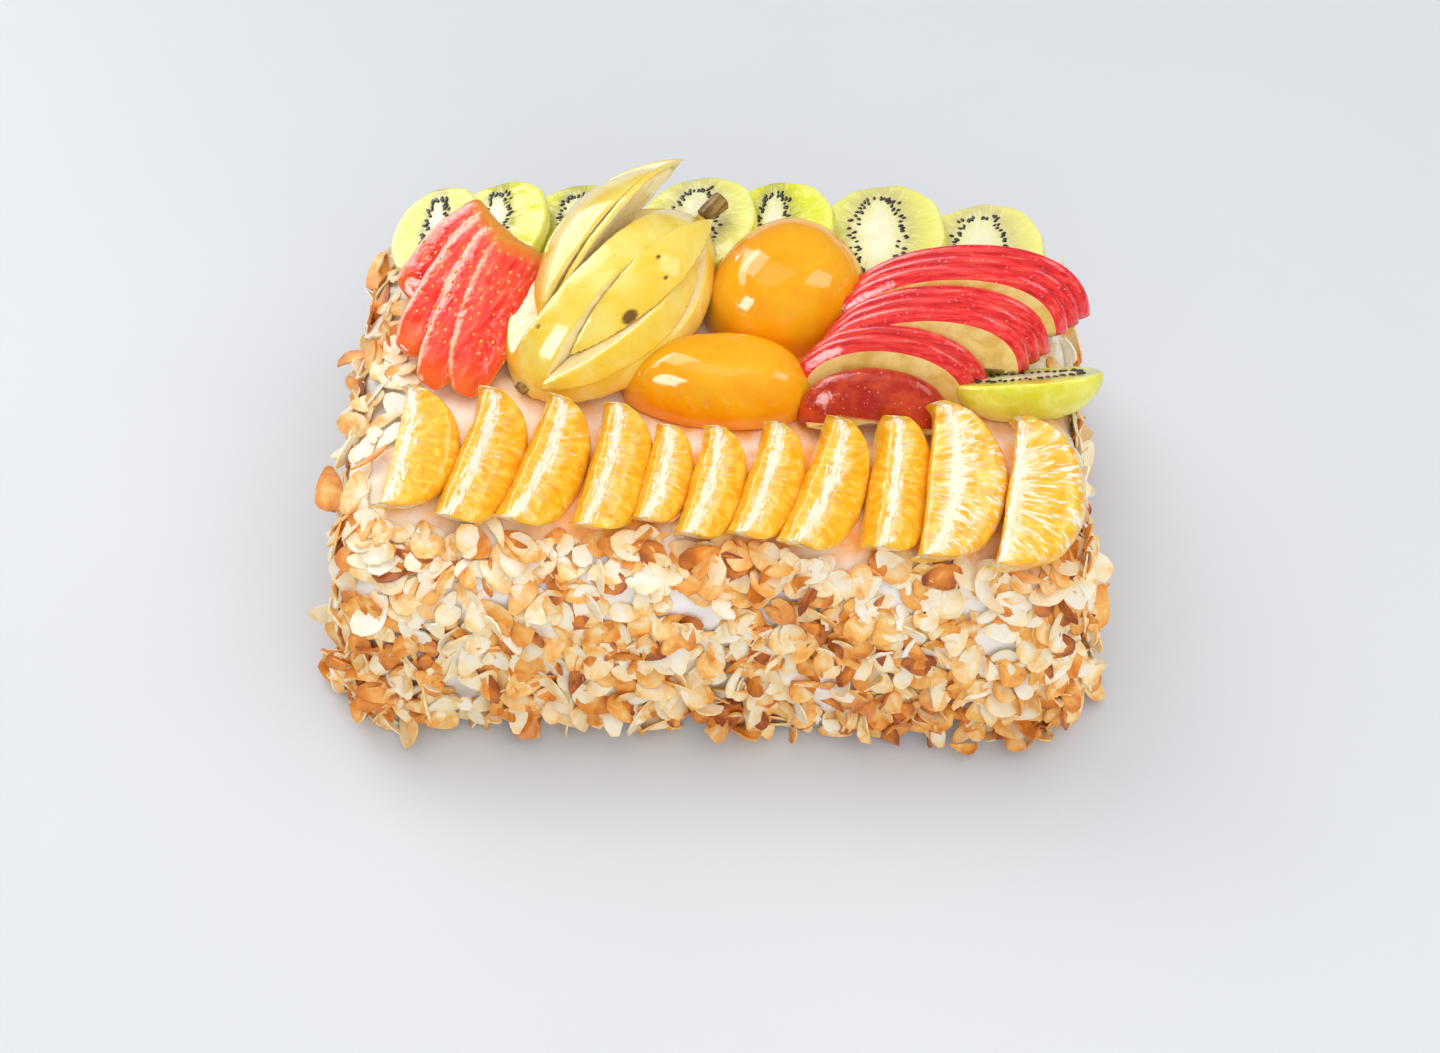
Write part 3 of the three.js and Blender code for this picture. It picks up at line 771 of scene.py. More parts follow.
def build_setting_out():
    """Stands small shapes on points that say which shape, how turned and how large."""
    tree = bpy.data.node_groups.new("set_out_on_points", "GeometryNodeTree")
    inputs = {"Geometry": "Geometry", "Shapes": "Collection", "Size": "Float"}
    inputs.update({"Size Spread": "Float", "Seed": "Int", "Finish": "Material"})
    for name, kind in inputs.items():
        tree.interface.new_socket(name, in_out="INPUT", socket_type=f"NodeSocket{kind}")
    tree.interface.new_socket("Geometry", in_out="OUTPUT", socket_type="NodeSocketGeometry")
    plan = Plan(tree)
    given = plan.named_outputs(plan.node("NodeGroupInput"))

    def carried_mark(name, kind):
        inputs = {"Name": name}
        return plan.result("Attribute", "GeometryNodeInputNamedAttribute", inputs, data_type=kind)

    inputs = {"Collection": given["Shapes"], "Separate Children": True, "Reset Children": True}
    shapes = plan.result(0, "GeometryNodeCollectionInfo", inputs)
    turn = plan.result(0, "FunctionNodeEulerToRotation", {0: carried_mark("turn", "FLOAT_VECTOR")})
    size, spread = given["Size"], given["Size Spread"]
    inputs = {2: size - spread, 3: size + spread, "Seed": given["Seed"]}
    vary = plan.result(1, "FunctionNodeRandomValue", inputs, data_type="FLOAT")
    inputs = {0: carried_mark("size", "FLOAT_VECTOR"), "Scale": vary}
    scale = plan.result(0, "ShaderNodeVectorMath", inputs, operation="SCALE")
    inputs = {"Points": given["Geometry"], "Instance": shapes, "Pick Instance": True}
    inputs.update({"Instance Index": carried_mark("pick", "INT"), "Rotation": turn, "Scale": scale})
    stand = plan.result(0, "GeometryNodeInstanceOnPoints", inputs)
    whole = plan.result(0, "GeometryNodeRealizeInstances", {0: stand})
    inputs = {0: whole, "Material": given["Finish"]}
    finished = plan.result(0, "GeometryNodeSetMaterial", inputs)
    plan.node("NodeGroupOutput", {0: finished})
    return tree


SET_OUT = build_setting_out()


def shape_box(name, shapes):
    """Collection of small shapes, out of sight, for the geometry tree to pick from."""
    box = bpy.data.collections.new(name)
    for index, (points, faces, leaf) in enumerate(shapes):
        obj = mesh_object(f"{name}_{index:02d}", points, faces)
        marked(obj, leaf=leaf)
        obj.data.shade_smooth()
        bpy.context.scene.collection.objects.unlink(obj)
        box.objects.link(obj)
    return box


def set_out(name, points, shapes, picks, material, spread, seed, **marks):
    """One piece made of small shapes on points, whose marks give their turns and sizes."""
    obj = mesh_object(name, points, [])
    marked(obj, **marks)
    layer = obj.data.attributes.new("pick", "INT", "POINT")
    layer.data.foreach_set("value", np.asarray(picks, np.int32))
    modifier = obj.modifiers.new("set_out", "NODES")
    modifier.node_group = SET_OUT
    values = {"Shapes": shapes, "Size": 1.0, "Size Spread": spread, "Seed": seed}
    values["Finish"] = material
    for item in SET_OUT.interface.items_tree:
        if item.in_out == "INPUT" and item.name in values:
            modifier[item.identifier] = values[item.name]
    return applied(obj)


def euler_turn(x, z, spin=0.0):
    """Euler angles that carry local x and z to two directions, after a spin about z."""
    basis = Matrix(based(x, z)[:3, :3].tolist())
    return tuple((basis @ Matrix.Rotation(spin, 3, "Z")).to_euler())


def seed_shape(length, width, thickness):
    """A flattened drop, pointed at +x."""
    turn = round_angles(8)
    rings = []
    for t in (0.06, 0.25, 0.5, 0.75, 0.94):
        broad = math.sin(math.pi * t**0.8) ** 0.7 / 2
        x = (t - 0.5) * length + 0 * turn
        y, z = np.cos(turn) * broad * width, np.sin(turn) * broad * thickness
        rings.append(np.stack([x, y, z], 1))
    points, faces = closed_loft(rings)
    return points, faces, points / length


# Cream

LOG_LENGTH, LOG_DEPTH, LOG_HEIGHT, LOG_MID = 236, 156, 88, 44
LOG_SHIFT, LOG_END_ROUND, LOG_FOOT_CUT, FOOT_FLARE = -2, 15, 1, 0.07
TOP_POWER, FOOT_POWER, CREAM_WAVE = 3, 9, 1.1
END_INSET, END_STEP, BEND_TURN = 26, 1.6, 80
# How high up and how far from the fruit the orange tint reaches, for juice soaked in and for the
# painted glow of light through the fruit; lower points get a distance that leaves them untinted
JUICE_AND_GLOW_FLOOR, JUICE_AND_GLOW_REACH, UNTINTED = 60, 7, 99.0


def section_angles(count):
    """Angles that space points evenly round the log's squarish section."""
    phi = round_angles(count)
    power = np.where(np.sin(phi) > 0, TOP_POWER, FOOT_POWER)
    c, s = np.cos(phi), np.sin(phi)
    reach = (np.abs(c) ** power + np.abs(s) ** power) ** (-1 / power)
    c, s = c * reach, s * reach
    return np.arctan2(signed_power(s, power / 2), signed_power(c, power / 2))


def cream_point(x, angle, grow=0.0):
    """Points of the log's surface: x along it, angle round its section."""
    x, angle = np.broadcast_arrays(np.asarray(x, float), np.asarray(angle, float))
    past = np.clip(np.abs(x) - (LOG_LENGTH / 2 - LOG_END_ROUND), 0, LOG_END_ROUND)
    end_inset = LOG_END_ROUND - np.sqrt(LOG_END_ROUND**2 - past**2)
    wave = CREAM_WAVE * np.sin(x / 19 + 2.1 * angle) * np.cos(x / 31 - 1.3 * angle)
    inset = end_inset - grow - wave
    upper = np.sin(angle) > 0
    power = np.where(upper, TOP_POWER, FOOT_POWER)
    half_height = LOG_HEIGHT - LOG_MID + np.where(upper, 0, LOG_FOOT_CUT) - inset
    y = (LOG_DEPTH / 2 - inset) * signed_power(np.cos(angle), 2 / power)
    z = LOG_MID + half_height * signed_power(np.sin(angle), 2 / power)
    flare = 1 + FOOT_FLARE * (1 - z / LOG_HEIGHT)
    return np.stack([x * flare + LOG_SHIFT, y * flare, np.maximum(z, 0)], -1)


def cream_normal(x, angle):
    along = cream_point(x + 1, angle) - cream_point(x - 1, angle)
    round_it = cream_point(x, angle + 0.02) - cream_point(x, angle - 0.02)
    normal = np.cross(round_it, along)
    return normal / np.linalg.norm(normal, axis=-1, keepdims=True)


def make_cream():
    half = LOG_LENGTH / 2
    straight = half - LOG_END_ROUND
    angles = section_angles(300)
    bends = LOG_END_ROUND * np.cos(np.linspace(0, BEND_TURN, 11) * DEG)
    rings = [cream_point(-half, angles, -inset) for inset in np.arange(END_INSET, 0, -END_STEP)]
    rings += [cream_point(-straight - bend, angles) for bend in bends]
    rings += [cream_point(x, angles) for x in np.linspace(-straight, straight, 160)]
    rings += [cream_point(straight + bend, angles) for bend in bends[::-1]]
    rings += [cream_point(half, angles, -inset) for inset in np.arange(1, END_INSET + 1, END_STEP)]
    obj = mesh_object("cream_body", *closed_loft(rings))
    points, outward = coordinates(obj), normals(obj)
    strokes = 0.75 * bumps(points * [0.25, 1.0, 1.0], 6.5, 2)
    swell = 0.9 * bumps(points, 17, 1) + strokes + 0.3 * bumps(points, 2.6, 3)
    off_foot = np.clip((points[:, 2] - 0.4) / 3, 0, 1)
    points = points + outward * (swell * off_foot - 0.25)[:, None]
    points[:, 2] = np.maximum(points[:, 2], 0)
    reshaped(obj, points)
    tree = tree_of(np.vstack(fruit_points) - SHIFT)
    # Nearness to the fruit: for the juice soaked in and for the painted glow of light through the
    # fruit
    near = [tree.find(point)[2] if point[2] > JUICE_AND_GLOW_FLOOR else UNTINTED for point in points]
    marked(obj, local=points, juice=np.clip(1.35 - np.array(near) / JUICE_AND_GLOW_REACH, 0, 1))
    placed(obj, np.eye(4), CREAM, "cream", "cake_roll", fruit=False)
    return tree


# Almond flakes


def flake_shape(rng, kind):
    """One thin almond slice with crisp edges: whole, snapped across, or a sliver."""
    sides = 14
    turn = round_angles(sides)
    x = np.cos(turn)
    y = np.sin(turn) * (1 - 0.34 * np.cos(turn)) * rng.uniform(0.54, 0.68)
    x = x * (1 + 0.04 * rng.normal(size=sides))
    y = y * (1 + 0.04 * rng.normal(size=sides))
    if kind == "snapped":
        edge = rng.uniform(-0.25, 0.4) + rng.uniform(-0.14, 0.14, sides)
        x = np.minimum(x, edge + rng.uniform(-0.7, 0.7) * y)
    if kind == "sliver":
        y = np.maximum(y, rng.uniform(0.0, 0.25) + rng.uniform(-0.06, 0.06, sides))
    bend, twist = rng.uniform(-0.05, 0.14), rng.uniform(-0.14, 0.14)
    if rng.random() < 0.2:
        bend = 0.3

    def ring(scale, height):
        px = (x - x.mean()) * scale + x.mean()
        py = (y - y.mean()) * scale + y.mean()
        return np.stack([px, py, height + bend * px * px + twist * px * py], 1)

    points, faces = closed_loft([ring(0.6, 0.06), ring(1, 0.045), ring(1, -0.045)])
    return points, faces, points.copy()


FLAKE_KINDS = ["whole", "snapped", "whole", "snapped", "whole", "sliver", "whole", "snapped"] * 2
FLAKE_HALF = 7.0
FRONT_FLAKES, BROW_FLAKES, BACK_FLAKES, END_FLAKES, CORNER_FLAKES = 1350, 130, 1000, 400, 260
# Limits in degrees round the section: 0 is the back, 90 the top and 180 the front
BACK_TOP, FRONT_TOP, BROW_TOP, BROW_FOOT, FRONT_FOOT, BACK_FOOT = 62, 113, 130, 149, 262, 278
LOW_PART, TOASTED_FROM, CLEAR_OF_FRUIT = 0.42, 0.42, 3.4
# Single flakes that stand out: place, way they face, half length, toast
STRAY_FLAKES = [
    ([-126, 14, 76], [-0.5, -0.3, 0.9], 8.5, 0.75),
    ([-127, 6, 71], [-0.3, -0.8, 0.7], 8.0, 0.6),
    ([-124, -14, 66], [-0.8, -0.3, 0.6], 7.0, 0.7),
    ([-130, -32, 66], [-0.2, -0.4, 0.9], 8.0, 0.62),
    ([-127, -52, 58], [-0.6, -0.5, 0.6], 8.0, 0.2),
    ([-126, -72, 40], [-0.6, -0.6, 0.5], 7.5, 0.15),
    ([126, -46, 52], [0.4, -0.6, 0.8], 8.0, 0.15),
    ([127, -58, 44], [0.6, -0.6, 0.6], 7.5, 0.5),
    ([126, -74, 34], [0.5, -0.7, 0.5], 8.0, 0.35),
    ([-96.7, -65.5, 80.5], [0, -0.6, 0.8], 7.5, 0.95),
    ([-86.9, -71, 77], [0.3, -0.7, 0.6], 6.0, 0.85),
    ([30.5, -77.5, 70], [0.7, -0.6, 0.4], 8.5, 1.0),
    ([32.5, -79.5, 64.5], [0.6, -0.7, 0.4], 7.5, 0.9),
    ([66.2, -84, 47], [0.3, -0.9, 0.4], 6.0, 0.95),
    ([71.7, -70.5, 77.5], [0, -0.7, 0.7], 6.5, 0.85),
]


def flake_places(rng):
    """Points on the front, the back and the ends, and the directions that face out there."""
    section = section_angles(720) / DEG % 360
    front = section[(section > FRONT_TOP) & (section < FRONT_FOOT)]
    brow = section[(section > BROW_TOP) & (section < BROW_FOOT)]
    rear = section[(section < BACK_TOP) | (section > BACK_FOOT)]
    corner = section[(section < FRONT_FOOT) | (section > BACK_FOOT)]
    starts, outs = [], []

    def scattered(xs, share):
        angles = rng.choice(share, len(xs)) * DEG
        starts.extend(cream_point(xs, angles))
        outs.extend(cream_normal(xs, angles))

    for count, share in ((FRONT_FLAKES, front), (BROW_FLAKES, brow), (BACK_FLAKES, rear)):
        scattered(rng.uniform(-0.5, 0.5, count) * (LOG_LENGTH - 6), share)
    for end in (-1, 1):
        for _ in range(END_FLAKES):
            y = rng.uniform(-0.5, 0.5) * (LOG_DEPTH - 22)
            z = 3 + 78 * rng.random() ** 1.15
            x = LOG_SHIFT + end * LOG_LENGTH / 2 * (1 + FOOT_FLARE * (1 - z / LOG_HEIGHT))
            starts.append(np.array([x, y, z]))
            outs.append(np.array([end, 0.0, 0.0]))
        scattered(end * (LOG_LENGTH / 2 - rng.uniform(1, 15, CORNER_FLAKES)), corner)
    return np.array(starts), np.array(outs)


def make_flakes(tree):
    """Flakes stuck on at all angles, thickest low down, and clear of the fruit."""
    rng = np.random.default_rng(11)
    shapes = shape_box("flake", [flake_shape(rng, kind) for kind in FLAKE_KINDS])
    starts, outs = flake_places(rng)
    high = starts[:, 2] / LOG_HEIGHT
    bare_patches = np.clip(bumps(starts, 20, 7) * 2.2, 0, 1)
    wanted = 1.3 - 0.5 * high - 0.75 * bare_patches * high
    wanted[FRONT_FLAKES : FRONT_FLAKES + BROW_FLAKES] = 1.0
    wanted[(np.abs(outs[:, 0]) > 0.9) & (starts[:, 1] > 5)] *= 0.65
    keep = (starts[:, 2] > 2.5) & (rng.random(len(starts)) < wanted)
    starts, outs, high = starts[keep], outs[keep], high[keep]
    count = len(starts)
    low_down = high < LOW_PART
    lean = rng.normal(size=(count, 3)) * np.where(low_down, 0.5, 0.3)[:, None]
    lean[:, 2] += rng.random(count) * np.where(low_down, 0.55, 0.4)
    faces_to = outs + lean
    faces_to /= np.linalg.norm(faces_to, axis=1, keepdims=True)
    tilt = 1 - np.abs(np.sum(faces_to * outs, axis=1))
    lift = 0.4 + 5.0 * tilt + rng.random(count) * np.where(low_down, 3.0, 1.2)
    half = FLAKE_HALF * rng.uniform(0.62, 1.2, count)
    # Flakes get browner towards the foot of the log
    toast = rng.beta(1.0, 2.7, count) + 0.12 * np.clip(1 - high / 0.62, 0, 1)
    toast += 0.25 * np.clip(bumps(starts, 24, 9), 0, 1)
    toast = np.where(rng.random(count) < 0.03, 0.92, toast)

    stray_points, stray_faces, stray_halves, stray_toasts = zip(*STRAY_FLAKES)
    points = np.vstack([starts + outs * lift[:, None], stray_points])
    faces_to = np.vstack([faces_to, [unit(face) for face in stray_faces]])
    half, toast = np.append(half, stray_halves), np.append(toast, stray_toasts)
    lowest = 1.0 + half * np.sqrt(1 - faces_to[:, 2] ** 2) * 0.9
    points[:, 2] = np.maximum(points[:, 2], lowest)
    clear = np.array([tree.find(point)[2] for point in points]) > CLEAR_OF_FRUIT
    points, faces_to, half, toast = points[clear], faces_to[clear], half[clear], toast[clear]
    turns = []
    for z, spin in zip(faces_to, rng.uniform(0, 2 * np.pi, len(points))):
        turns.append(euler_turn(unit(np.cross(Y if abs(z[1]) < 0.9 else X, z)), z, spin))
    turns, sizes = np.array(turns), half[:, None] * np.ones(3)
    picks = rng.integers(0, len(FLAKE_KINDS), len(points))
    toasted = toast > TOASTED_FROM
    for name, some, seed in (("pale", ~toasted, 3), ("toasted", toasted, 4)):
        marks = {"turn": turns[some], "size": sizes[some], "toast": toast[some]}
        name = f"almond_flakes_{name}"
        obj = set_out(name, points[some], shapes, picks[some], ALMOND, 0.08, seed, **marks)
        places = coordinates(obj)
        places[:, 2] = np.maximum(places[:, 2], 0.1)
        reshaped(obj, places)
        placed(obj, np.eye(4), ALMOND, "cream", fruit=False, crease=35)


# Kiwi

# Each slice: its right end, width, tilt, place along Y, length, how yellow it is, and half the
# width of its core as a share of the slice's, which is narrow where it is cut off centre
KIWIS = [
    (-83, 33, 18, 56, 42, 0.0, 0.15),
    (-60, 38, 17, 58, 44, 0.0, 0.16),
    (-33, 38, 12, 60, 42, 0.1, 0.22),
    (11, 42, 13, 62, 46, 0.35, 0.27),
    (38, 42, 14, 59, 48, 0.0, 0.18),
    (76, 46, 12, 57, 51, 0.3, 0.28),
    (110, 44, 9, 52, 47, 0.4, 0.3),
]
KIWI_THICKNESS, KIWI_SEEDS, SEED_PROUD = 5.5, 66, 0.05
CORE_LENGTH, CORE_EDGE = 0.66, 0.33
KIWI_FACE_RINGS = (0.04, 0.1, 0.18, 0.27, 0.36, 0.45, 0.54, 0.63, 0.72, 0.8, 0.87, 0.925, 0.95)
# Round the rim and under the slice: share of its reach, of its thickness, and cut face mark
KIWI_RIM_RINGS = [
    (0.972, 0.94, 0.6),
    (0.99, 0.82, 0.0),
    (1.0, 0.6, 0.0),
    (1.0, 0.4, 0.0),
    (0.985, 0.16, 0.0),
    (0.96, 0.03, 0.0),
    (0.9, 0.0, 0.6),
    (0.5, 0.0, 1.0),
    (0.1, 0.0, 1.0),
]


def core_distance(across, along, core):
    """0 at the middle of the core, 0.33 at its edge, about 1 at the rim of the slice."""
    oblong = np.sqrt((across / core) ** 2 + (along / CORE_LENGTH) ** 2)
    outside = np.hypot(across, along) * np.clip((oblong - 1) / 2.0, 0, 1)
    beyond = CORE_EDGE + (1 - CORE_EDGE) * outside
    return np.clip(np.where(oblong < 1, CORE_EDGE * oblong, beyond), 0, 1.1)


def kiwi_top(across, along):
    """Height of a slice's cut face, which swells a little over the core."""
    core = np.exp(-((across / 0.28) ** 2 + (along / CORE_LENGTH) ** 2) * 1.2)
    fall = np.clip(np.hypot(across, along) - 0.55, 0, 1) ** 2
    return KIWI_THICKNESS + 0.35 * core - 0.5 * fall


kiwi_seed_places, kiwi_seed_turns = [], []


def add_kiwi_seeds(rng, place, width, length, core, count, height):
    """Seeds lie in two rough columns and two arcs round the core, each pointing outward."""
    for index in range(count):
        angle = (index + rng.uniform(-0.4, 0.4)) * 2 * np.pi / count
        reach = rng.choice([0.03, 0.09, 0.15], p=[0.4, 0.4, 0.2]) + rng.uniform(-0.02, 0.02)
        across = (core + reach) * signed_power(math.cos(angle), 0.6)
        along = (CORE_LENGTH + 0.6 * reach) * math.sin(angle)
        local = np.array([across * width / 2, along * length / 2, height(across, along)])
        kiwi_seed_places.append(carried(place, local))
        heading = math.atan2(along * length * 0.5, across * width)
        out = place[:3, :3] @ np.array([math.cos(heading), math.sin(heading), 0])
        kiwi_seed_turns.append(euler_turn(out, place[:3, 2], rng.uniform(-0.4, 0.4)))


def mark_kiwi(obj, local, face, disc, core, ripe):
    disc = np.column_stack([disc, core_distance(*disc.T, core)])
    marked(obj, local=local, face=face, ripe=np.full(len(local), ripe), disc=disc)


def make_kiwis():
    rng = np.random.default_rng(5)
    sides = 128
    turn = round_angles(sides)
    for number, (right, width, tilt, y, length, ripe, core) in enumerate(KIWIS, 1):
        facets = 0.022 * np.abs(np.sin(4.5 * turn + 1.7 * number))
        facets += 0.012 * np.sin(3 * turn + number)
        outline = np.stack([signed_power(np.cos(turn), 0.9), signed_power(np.sin(turn), 0.9)], 1)
        outline *= (1.012 - facets)[:, None]
        reach = np.array([width / 2, length / 2])
        rings, face = [], [1.0] * len(KIWI_FACE_RINGS)
        for scale in KIWI_FACE_RINGS:
            disc = outline * scale
            rings.append(np.column_stack([disc * reach, kiwi_top(*disc.T)]))
        for scale, share, mark in KIWI_RIM_RINGS:
            level = np.full(sides, KIWI_THICKNESS * share)
            rings.append(np.column_stack([outline * scale * reach, level]))
            face.append(mark)
        obj = mesh_object(f"kiwi_{number}_flesh", *closed_loft(rings))
        points = coordinates(obj)
        face = np.append(np.repeat(face, sides), [1.0, 1.0])
        mark_kiwi(obj, points + 50 * number, face, points[:, :2] / reach, core, ripe)
        swollen(obj, 0.25 * bumps(points, 5, 20 + number) + 0.1 * bumps(points, 1.8, 30))
        x = right - width / 2 * math.cos(tilt * DEG)
        z = CREAM_TOP + 0.4 + width / 2 * math.sin(tilt * DEG)
        place = moved(x, y, z) @ turned(-3, "X") @ turned(-tilt, "Y")
        placed(obj, place, KIWI, "kiwi", f"kiwi_slice_{number}")
        add_kiwi_seeds(
            rng, place, width, length, core, KIWI_SEEDS, lambda a, b: kiwi_top(a, b) + SEED_PROUD
        )


def dome_rings(length, width, height, crown, egg, sides, rises):
    """A rounded half fruit: crown says how full it is, and egg how much broader at +x."""
    turn = round_angles(sides)
    x = length / 2 * np.cos(turn)
    y = width / 2 * signed_power(np.sin(turn), 0.9) * (1 + egg * np.cos(turn))
    rings = []
    for rise in rises:
        spread, z = math.cos(rise * DEG) ** crown, height * math.sin(rise * DEG)
        rings.append(np.stack([x * spread, y * spread, np.full(sides, z)], 1))
    return rings


BOAT = {"length": 50, "width": 25, "height": 14, "crown": 0.75, "egg": 0.1}
BOAT_MIDDLE, BOAT_ALONG, BOAT_FACE_OUT = [100, -5, 99], [49, 6, 1.0], [0, 0.63, 0.78]
BOAT_CORE, BOAT_SEEDS, BOAT_SWELL = 0.28, 50, 0.35
BOAT_FACE_RINGS = (0.05, 0.15, 0.3, 0.45, 0.6, 0.75, 0.88, 0.96)


def make_kiwi_boat():
    """A wedge of kiwi, made face down: its cut face at the foot, its skin side as the dome."""
    place = frame_of(BOAT_MIDDLE, BOAT_ALONG, np.cross(BOAT_ALONG, BOAT_FACE_OUT))
    sides = 120
    skin = dome_rings(**BOAT, sides=sides, rises=np.linspace(0, 86, 26))
    face = [skin[0] * [s, s, 1] - [0, 0, BOAT_SWELL * (1 - s)] for s in BOAT_FACE_RINGS]
    rings = face + [ring + [0, 0, BOAT_SWELL] for ring in skin]
    obj = mesh_object("kiwi_boat_flesh", *closed_loft(rings))
    points = coordinates(obj)
    marks = np.append(np.repeat([1.0] * len(face) + [0.0] * len(skin), sides), [1.0, 0.0])
    disc = points[:, [1, 0]] / [BOAT["width"] / 2, BOAT["length"] / 2]
    mark_kiwi(obj, points + 400, marks, disc, BOAT_CORE, 0.0)
    swollen(obj, 0.3 * bumps(points, 6, 41))
    placed(obj, place, KIWI, "kiwi", "kiwi_boat")
    rng = np.random.default_rng(8)
    face_down, width, length = place @ based(Y, -Z), BOAT["width"], BOAT["length"]
    add_kiwi_seeds(rng, face_down, width, length, BOAT_CORE, BOAT_SEEDS, lambda a, b: 0.3)


def make_kiwi_seeds():
    shapes = shape_box("kiwi_seed", [seed_shape(2.3, 1.25, 0.9), seed_shape(2.0, 1.2, 0.9)])
    places, turns = np.array(kiwi_seed_places), np.array(kiwi_seed_turns)
    picks = np.random.default_rng(4).integers(0, 2, len(places))
    marks = {"turn": turns, "size": np.ones_like(places)}
    obj = set_out("kiwi_seeds", places, shapes, picks, KIWI_SEED, 0.15, 6, **marks)
    placed(obj, np.eye(4), KIWI_SEED, "kiwi", fruit=False)


# Peach halves: shape, place, tip forward or back, and turn

PEACHES = [
    ({"length": 58, "width": 50, "height": 28, "crown": 0.8, "egg": 0.14}, [20, 35.5, 87], 4, 36),
    ({"length": 64, "width": 33, "height": 20, "crown": 0.64, "egg": 0.12}, [-1, -5, 87], -6, 0),
]


def make_peaches():
    for number, (shape, place, tip, turn) in enumerate(PEACHES, 1):
        rings = dome_rings(**shape, sides=140, rises=np.linspace(0, 87, 60))
        under = [rings[0] * [scale, scale, 1] for scale in (0.1, 0.5, 0.9)]
        obj = mesh_object(f"peach_{number}", *closed_loft(under + rings))
        points = coordinates(obj)
        marked(obj, local=points + [200 * number, 0, 0])
        swollen(obj, 0.55 * bumps(points, 17, 50 + number) + 0.12 * bumps(points, 5, 52))
        matrix = moved(*place) @ turned(turn, "Z") @ turned(tip, "X")
        placed(obj, matrix, PEACH, "peach", f"peach_half_{number}")


# Pear: half with nested V cuts whose leaves are slid along it

CUT_GAP = 0.3
# Each V: its bearing round the pear, how far from the axis its edge lies, and its half angle;
# how far its leaf and its wedge slide towards the stem; and how far they tip up and turn
PEAR_CUTS = {
    "left": {
        "outer": (-38, 12.5, 52),
        "inner": (-38, 14.5, 48),
        "slides": (17, 13),
        "opened": (5, 4),
    },
    "right": {
        "outer": (44, 12, 43),
        "inner": (32, 13, 30),
        "slides": (-4, 8),
        "opened": (0, 0),
    },
}
LEAF_TIP = 4
PEAR_VOXEL, SKIN_DEPTH = 0.75, 0.75
# Dark spots on the skin: across, along, size
PEAR_SPOTS = [(18.7, 27.7, 2.3), (13.5, 47.8, 0.75), (19, 45.1, 0.75), (-2, 14, 0.7)]


def pear_radius(s):
    t = np.asarray(s, float) / PEAR_LENGTH
    power = np.where(t < 0.5, 0.47, 0.68)
    return PEAR_RADIUS * np.maximum(0.14, np.sin(np.pi * np.clip(t, 0, 1)) ** power)


def pear_half(name):
    """Half a pear lying on its cut face, from its calyx at y = 0 to its stem."""
    stations, sides = 60, 64
    angle = np.linspace(0, math.pi, sides)
    rings = []
    for i in range(stations + 1):
        s = PEAR_LENGTH * (1 - math.cos(math.pi * i / stations)) / 2
        x, z = pear_radius(s) * np.cos(angle), pear_radius(s) * np.sin(angle)
        rings.append(np.stack([x, np.full(sides, s), z], 1))
    return mesh_object(name, *closed_loft(rings))


def vee(name, bearing, edge, open_angle, inset=0.0):
    """Wedge along the pear, edge inwards, with its two faces drawn in by the inset."""
    reach, past_ends = 70, 40
    depth = edge + inset / math.sin(open_angle * DEG)
    across = reach * math.sin(open_angle * DEG)
    out = depth + reach * math.cos(open_angle * DEG)
    c, s = math.cos(bearing * DEG), math.sin(bearing * DEG)
    corners = ((0, depth), (-across, out), (across, out))
    ends = (-past_ends, PEAR_LENGTH + past_ends)
    rings = [[[a * c + o * s, y, o * c - a * s] for a, o in corners] for y in ends]
    return mesh_object(name, *closed_loft(rings))


def finish_pear(obj, move, node):
    """Marks skin and spots by place on the whole pear, then sets the piece down."""
    remeshed(obj, PEAR_VOXEL, 2)
    points = coordinates(obj)
    depth = pear_radius(points[:, 1]) - np.hypot(points[:, 0], points[:, 2])
    end = np.minimum(points[:, 1], PEAR_LENGTH - points[:, 1])
    skin = np.clip(1.35 - depth / SKIN_DEPTH, 0, 1) * (points[:, 2] > 0.4)
    skin = np.maximum(skin, np.clip(1.2 - end / 1.2, 0, 1))
    blemish = np.zeros(len(points))
    for x, y, size in PEAR_SPOTS:
        z = math.sqrt(max(pear_radius(y) ** 2 - x * x, 0))
        distance = np.linalg.norm((points - [x, y, z]) * [1.0, 0.7, 1.0], axis=1)
        blemish = np.maximum(blemish, np.clip(3.3 - 3 * distance / size, 0, 1))
    marked(obj, local=points, skin=skin, blemish=blemish)
    swollen(obj, 0.3 * bumps(points, 9, 60) * skin + 0.16 * bumps(points, 2.4, 61) * (1 - skin))
    placed(obj, PEAR_PLACE @ move, PEAR, "pear", node)


def make_pear():
    base = pear_half("pear_body")
    cuts_out = [vee(f"cut_{side}", *cuts["outer"]) for side, cuts in PEAR_CUTS.items()]
    worked(base, [("DIFFERENCE", tool) for tool in cuts_out])
    finish_pear(base, np.eye(4), "pear_base")
    for side, cuts in PEAR_CUTS.items():
        for kind, slide in zip(("leaf", "wedge"), cuts["slides"]):
            obj = pear_half(f"pear_{side}_{kind}")
            steps = [("INTERSECT", vee("outer_cut", *cuts["outer"], CUT_GAP))]
            if kind == "wedge":
                steps.append(("INTERSECT", vee("inner_cut", *cuts["inner"], CUT_GAP)))
            else:
                steps.append(("DIFFERENCE", vee("inner_cut", *cuts["inner"])))
            worked(obj, steps)
            edge, (pitch, yaw) = cuts["outer"][1], cuts["opened"]
            move = moved(0, LEAF_TIP + slide, edge) @ turned(pitch, "X")
            move = move @ turned(yaw, "Z") @ moved(0, -LEAF_TIP, -edge)
            finish_pear(obj, move, f"pear_{kind}_{side}")


